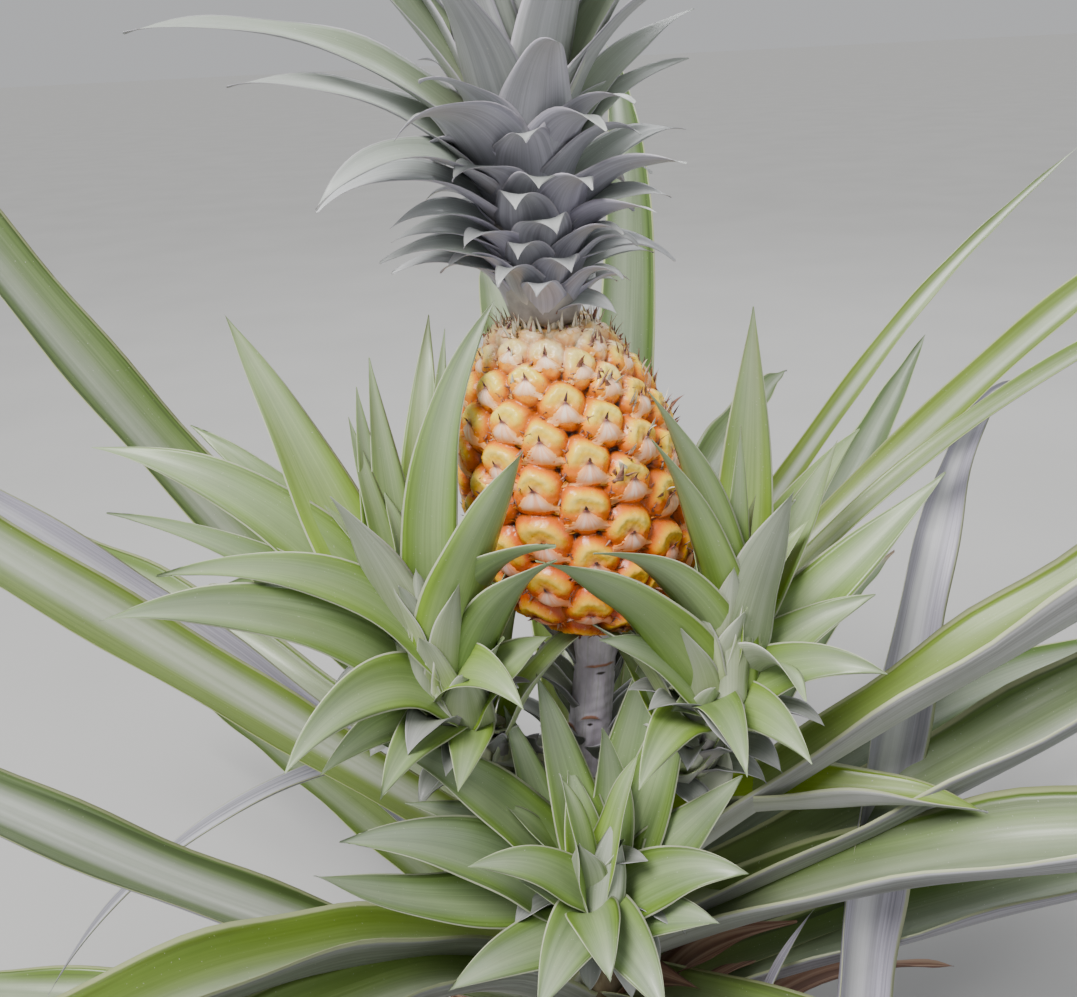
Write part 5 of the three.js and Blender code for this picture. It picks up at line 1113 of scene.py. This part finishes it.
# thin bracts on the fruit's stalk
r = np.random.default_rng(41)
for i in range(17):
    az = (i * GOLDEN + 30) % 360
    z = 343 + 4.7 * i
    front = math.cos((az + 90) * D) > 0.55
    if front and z > 366:
        continue
    L = (62 - 0.32 * (z - 343)) * r.uniform(0.8, 1.15) * (0.55 if front else 1.0)
    x0 = float(axis_x(z))
    row = [f"p{i}", x0 + 12.5 * math.cos(az * D), 12.5 * math.sin(az * D), z, az, 62 + r.uniform(-8, 8), -50 + r.uniform(-20, 20), 1.4, r.uniform(-10, 10), L, 20 * r.uniform(.85, 1.1), r.uniform(-8, 8), 0]
    leaf(plantlets, row, "slip", "P", rng, mats=(2, 3), grey=rng.uniform(.3, .9), warm=rng.uniform(.0, .4), channel=.5, wave=0.9, frost=.3)

crown = Joined("crown_leaves", 6)


CROWN_FILL = 92


def crown_row(i):
    """Leaf number i of the crown's spiral: broad, pressed to the core, then bent outward."""
    r = np.random.default_rng(700 + i)
    u = i / (CROWN_FILL - 1)
    z = 602.5 + 98 * u ** 0.92
    az = (i * GOLDEN + r.uniform(-10, 10)) % 360
    rise = float(smooth((u - 0.50) / 0.40))
    L = (38 + 26 * u + 148 * rise) * r.uniform(0.86, 1.10)
    el = 66 + 16 * u + r.uniform(-5, 5)
    bend = -118 + 104 * float(smooth((u - 0.42) / 0.5)) + r.uniform(-9, 9)
    core = float(np.interp(z, CORE_Z, CORE_R))
    rr = max(core - 1.5, 4.0)
    W = (22 + 13 * smooth(u * 2.2)) * r.uniform(0.92, 1.08)
    return ["k%d" % i, float(axis_x(z)) + rr * math.cos(az * D), rr * math.sin(az * D), z, az, el, bend, 1.75, r.uniform(-8, 8), L, W, r.uniform(-6, 6), 0]


for row in CROWN_LEAVES:
    u = (row[3] - 602) / 98
    leaf(crown, row, "crown", "K", rng, grey=rng.uniform(.3, .8), warm=0.7 * smooth((u - .40) / .5), channel=.42, wave=0.8, frost=0.42 - 0.3 * u)
for i in range(CROWN_FILL):
    row = crown_row(i)
    near = [q for q in CROWN_LEAVES if abs((q[4] - row[4] + 180) % 360 - 180) < 13 and abs(q[3] - row[3]) < 5]
    if near:
        continue
    u = (row[3] - 602) / 98
    leaf(crown, row, "crown", "K", rng, grey=rng.uniform(.3, .8), warm=0.7 * smooth((u - .40) / .5), channel=.40, wave=0.8, frost=0.48 - 0.36 * u)

# dry leaf bases and old leaves at the stem's foot
litter = Joined("dry_leaves", 3)
rng = np.random.default_rng(8)
for i in range(26):
    az = (i * GOLDEN) % 360
    z = 14 + 4.6 * i
    r = np.interp(z, STEM_Z, STEM_R) + 3
    L = rng.uniform(55, 120)
    row = ["s", float(axis_x(z)) + r * math.cos(az * D), r * math.sin(az * D), z + 12, az, rng.uniform(40, 62), rng.uniform(-70, -20), 1.2, rng.uniform(-12, 12), L, rng.uniform(30, 42), rng.uniform(-8, 8), 0]
    leaf(litter, row, "slip", "M", rng, grey=.5, warm=0, channel=.5, dry=1.0, wave=1.6, floor=1.0, thick=1.4)
for i in range(11):
    az = (i * 131.0 + 20) % 360
    z = 46 + 9 * i
    r = np.interp(z, STEM_Z, STEM_R) + 6
    L = rng.uniform(230, 340)
    row = ["o", float(axis_x(z)) + r * math.cos(az * D), r * math.sin(az * D), z, az, rng.uniform(28, 44), rng.uniform(-88, -66), 0.9, rng.uniform(-14, 14), L, rng.uniform(24, 34), rng.uniform(-14, 14), 0]
    leaf(litter, row, "slip", "M", rng, grey=.5, warm=0, channel=.6, dry=1.0, wave=2.0, floor=1.2, thick=1.4)

for row in (["o1", 34.0, -6.0, 150.0, -37.5, 78.0, -69.3, 1.18, 40.0, 136.6, 26.0, 10.0, 0.0],
            ["o2", 24.0, -16.0, 170.0, -66.0, 83.7, -91.2, 1.25, 40.0, 73.1, 24.0, 10.0, 0.0]):
    leaf(litter, row, "slip", "M", rng, grey=.3, warm=0, channel=.6, dry=1.0, wave=2.2, floor=1.2, thick=1.4)

dry_upper = leaf_material("dry_upper", (0.10, 0.05, 0.025), (0.27, 0.16, 0.09), (0.46, 0.34, 0.23), (0.38, 0.33, 0.27), (0.4, 0.25, 0.1), (0.30, 0.20, 0.11), (0.50, 0.38, 0.26), 0.7)

# ------------------------------------------------------------------ objects
groups = [
    (straps, [strap_upper, strap_under], "strap_leaf"),
    (sucker_blades, [strap_upper, strap_under], "strap_leaf"),
    (plantlets, [slip_upper, slip_under, scale_upper_shaded, scale_under_shaded], "slip_leaf"),
    (crown, [crown_upper, crown_under], "crown_leaf"),
    (core, [core_flesh], "crown_leaf"),
    (fruit, [fruit_skin], "fruit_rind"),
    (bracts, [bract_skin, bract_dry, bract_pale, bract_tip], "fruit_rind"),
    (solid, [stalk_wax], "stalk"),
    (stem, [stem_bark], "stem"),
    (slips, [slip_flesh], "slip_leaf"),
    (sucker, [stem_bark], "stem"),
    (litter, [dry_upper, dry_upper], "strap_leaf"),
]
for j, mats, slot in groups:
    ob = j.build(mats)
    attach(ob, "root")

nodes = list(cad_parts)
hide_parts(*[x for x in nodes if x.startswith("leaf_")])
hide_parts(*[x for x in nodes if x.startswith("sucker_leaf_")])
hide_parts("slip_left", "slip_right", "slip_front")
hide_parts("crown")
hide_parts("fruit")
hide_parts("fruit_stalk")
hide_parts("stem")
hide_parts("sucker_shoot")

# ------------------------------------------------------------------ floor, light, camera
me = bpy.data.meshes.new("floor")
s = 90.0
me.from_pydata([(-s, -s, 0), (s, -s, 0), (s, s, 0), (-s, s, 0)], [], [(0, 1, 2, 3)])
floor = bpy.data.objects.new("floor", me)
bpy.context.scene.collection.objects.link(floor)
k = Mat("floor_pale", 0.9, 0.2)
f = k.noise(k.obj(), 3.0, 2.0, 0.5)
k.color(k.ramp(f, [(0.3, (0.395, 0.395, 0.39)), (0.7, (0.42, 0.42, 0.415))]))
me.materials.append(k.m)

world = bpy.data.worlds.new("studio")
world.use_nodes = True
world.node_tree.nodes["Background"].inputs[0].default_value = (0.90, 0.91, 0.93, 1)
world.node_tree.nodes["Background"].inputs[1].default_value = 0.56
bpy.context.scene.world = world


def lamp(name, where, to, size, power, colour=(1, 1, 1)):
    d = bpy.data.lights.new(name, "AREA")
    d.shape, d.size, d.energy, d.color = "SQUARE", size, power, colour
    o = bpy.data.objects.new(name, d)
    o.location = where
    o.rotation_euler = (Vector(to) - Vector(where)).to_track_quat("-Z", "Y").to_euler()
    bpy.context.scene.collection.objects.link(o)


lamp("key", (-1.1, -1.2, 2.9), (0, 0, 0.45), 1.2, 86, (1.0, 0.98, 0.95))
lamp("fill", (2.3, -1.5, 1.6), (0, 0, 0.4), 1.8, 12, (0.95, 0.97, 1.0))
lamp("back", (0.7, 2.2, 2.6), (0, 0, 0.45), 1.6, 36, (0.97, 0.98, 1.0))
d = bpy.data.lights.new("sky", "SUN")
d.energy, d.angle, d.color = 2.5, 24 * D, (1.0, 0.985, 0.96)
o = bpy.data.objects.new("sky", d)
o.rotation_euler = (Vector((0.42, 0.48, -1.0))).to_track_quat("-Z", "Y").to_euler()
bpy.context.scene.collection.objects.link(o)

cam = bpy.data.cameras.new("camera")
cam.sensor_width, cam.lens = 36.0, 36.1
cam.clip_start = 0.02
co = bpy.data.objects.new("camera", cam)
X, Y, Z3 = Vector((0.9987, -0.0194, -0.0468)).normalized(), Vector((0.0507, 0.3822, 0.9227)), Vector((0, -0.9239, 0.3827))
Z3.normalize()
Y = Z3.cross(X).normalized()
X = Y.cross(Z3).normalized()
co.matrix_world = Matrix(((X.x, Y.x, Z3.x, -0.019), (X.y, Y.y, Z3.y, -0.511), (X.z, Y.z, Z3.z, 0.718), (0, 0, 0, 1)))
bpy.context.scene.collection.objects.link(co)
bpy.context.scene.camera = co


bpy.context.view_layer.update()
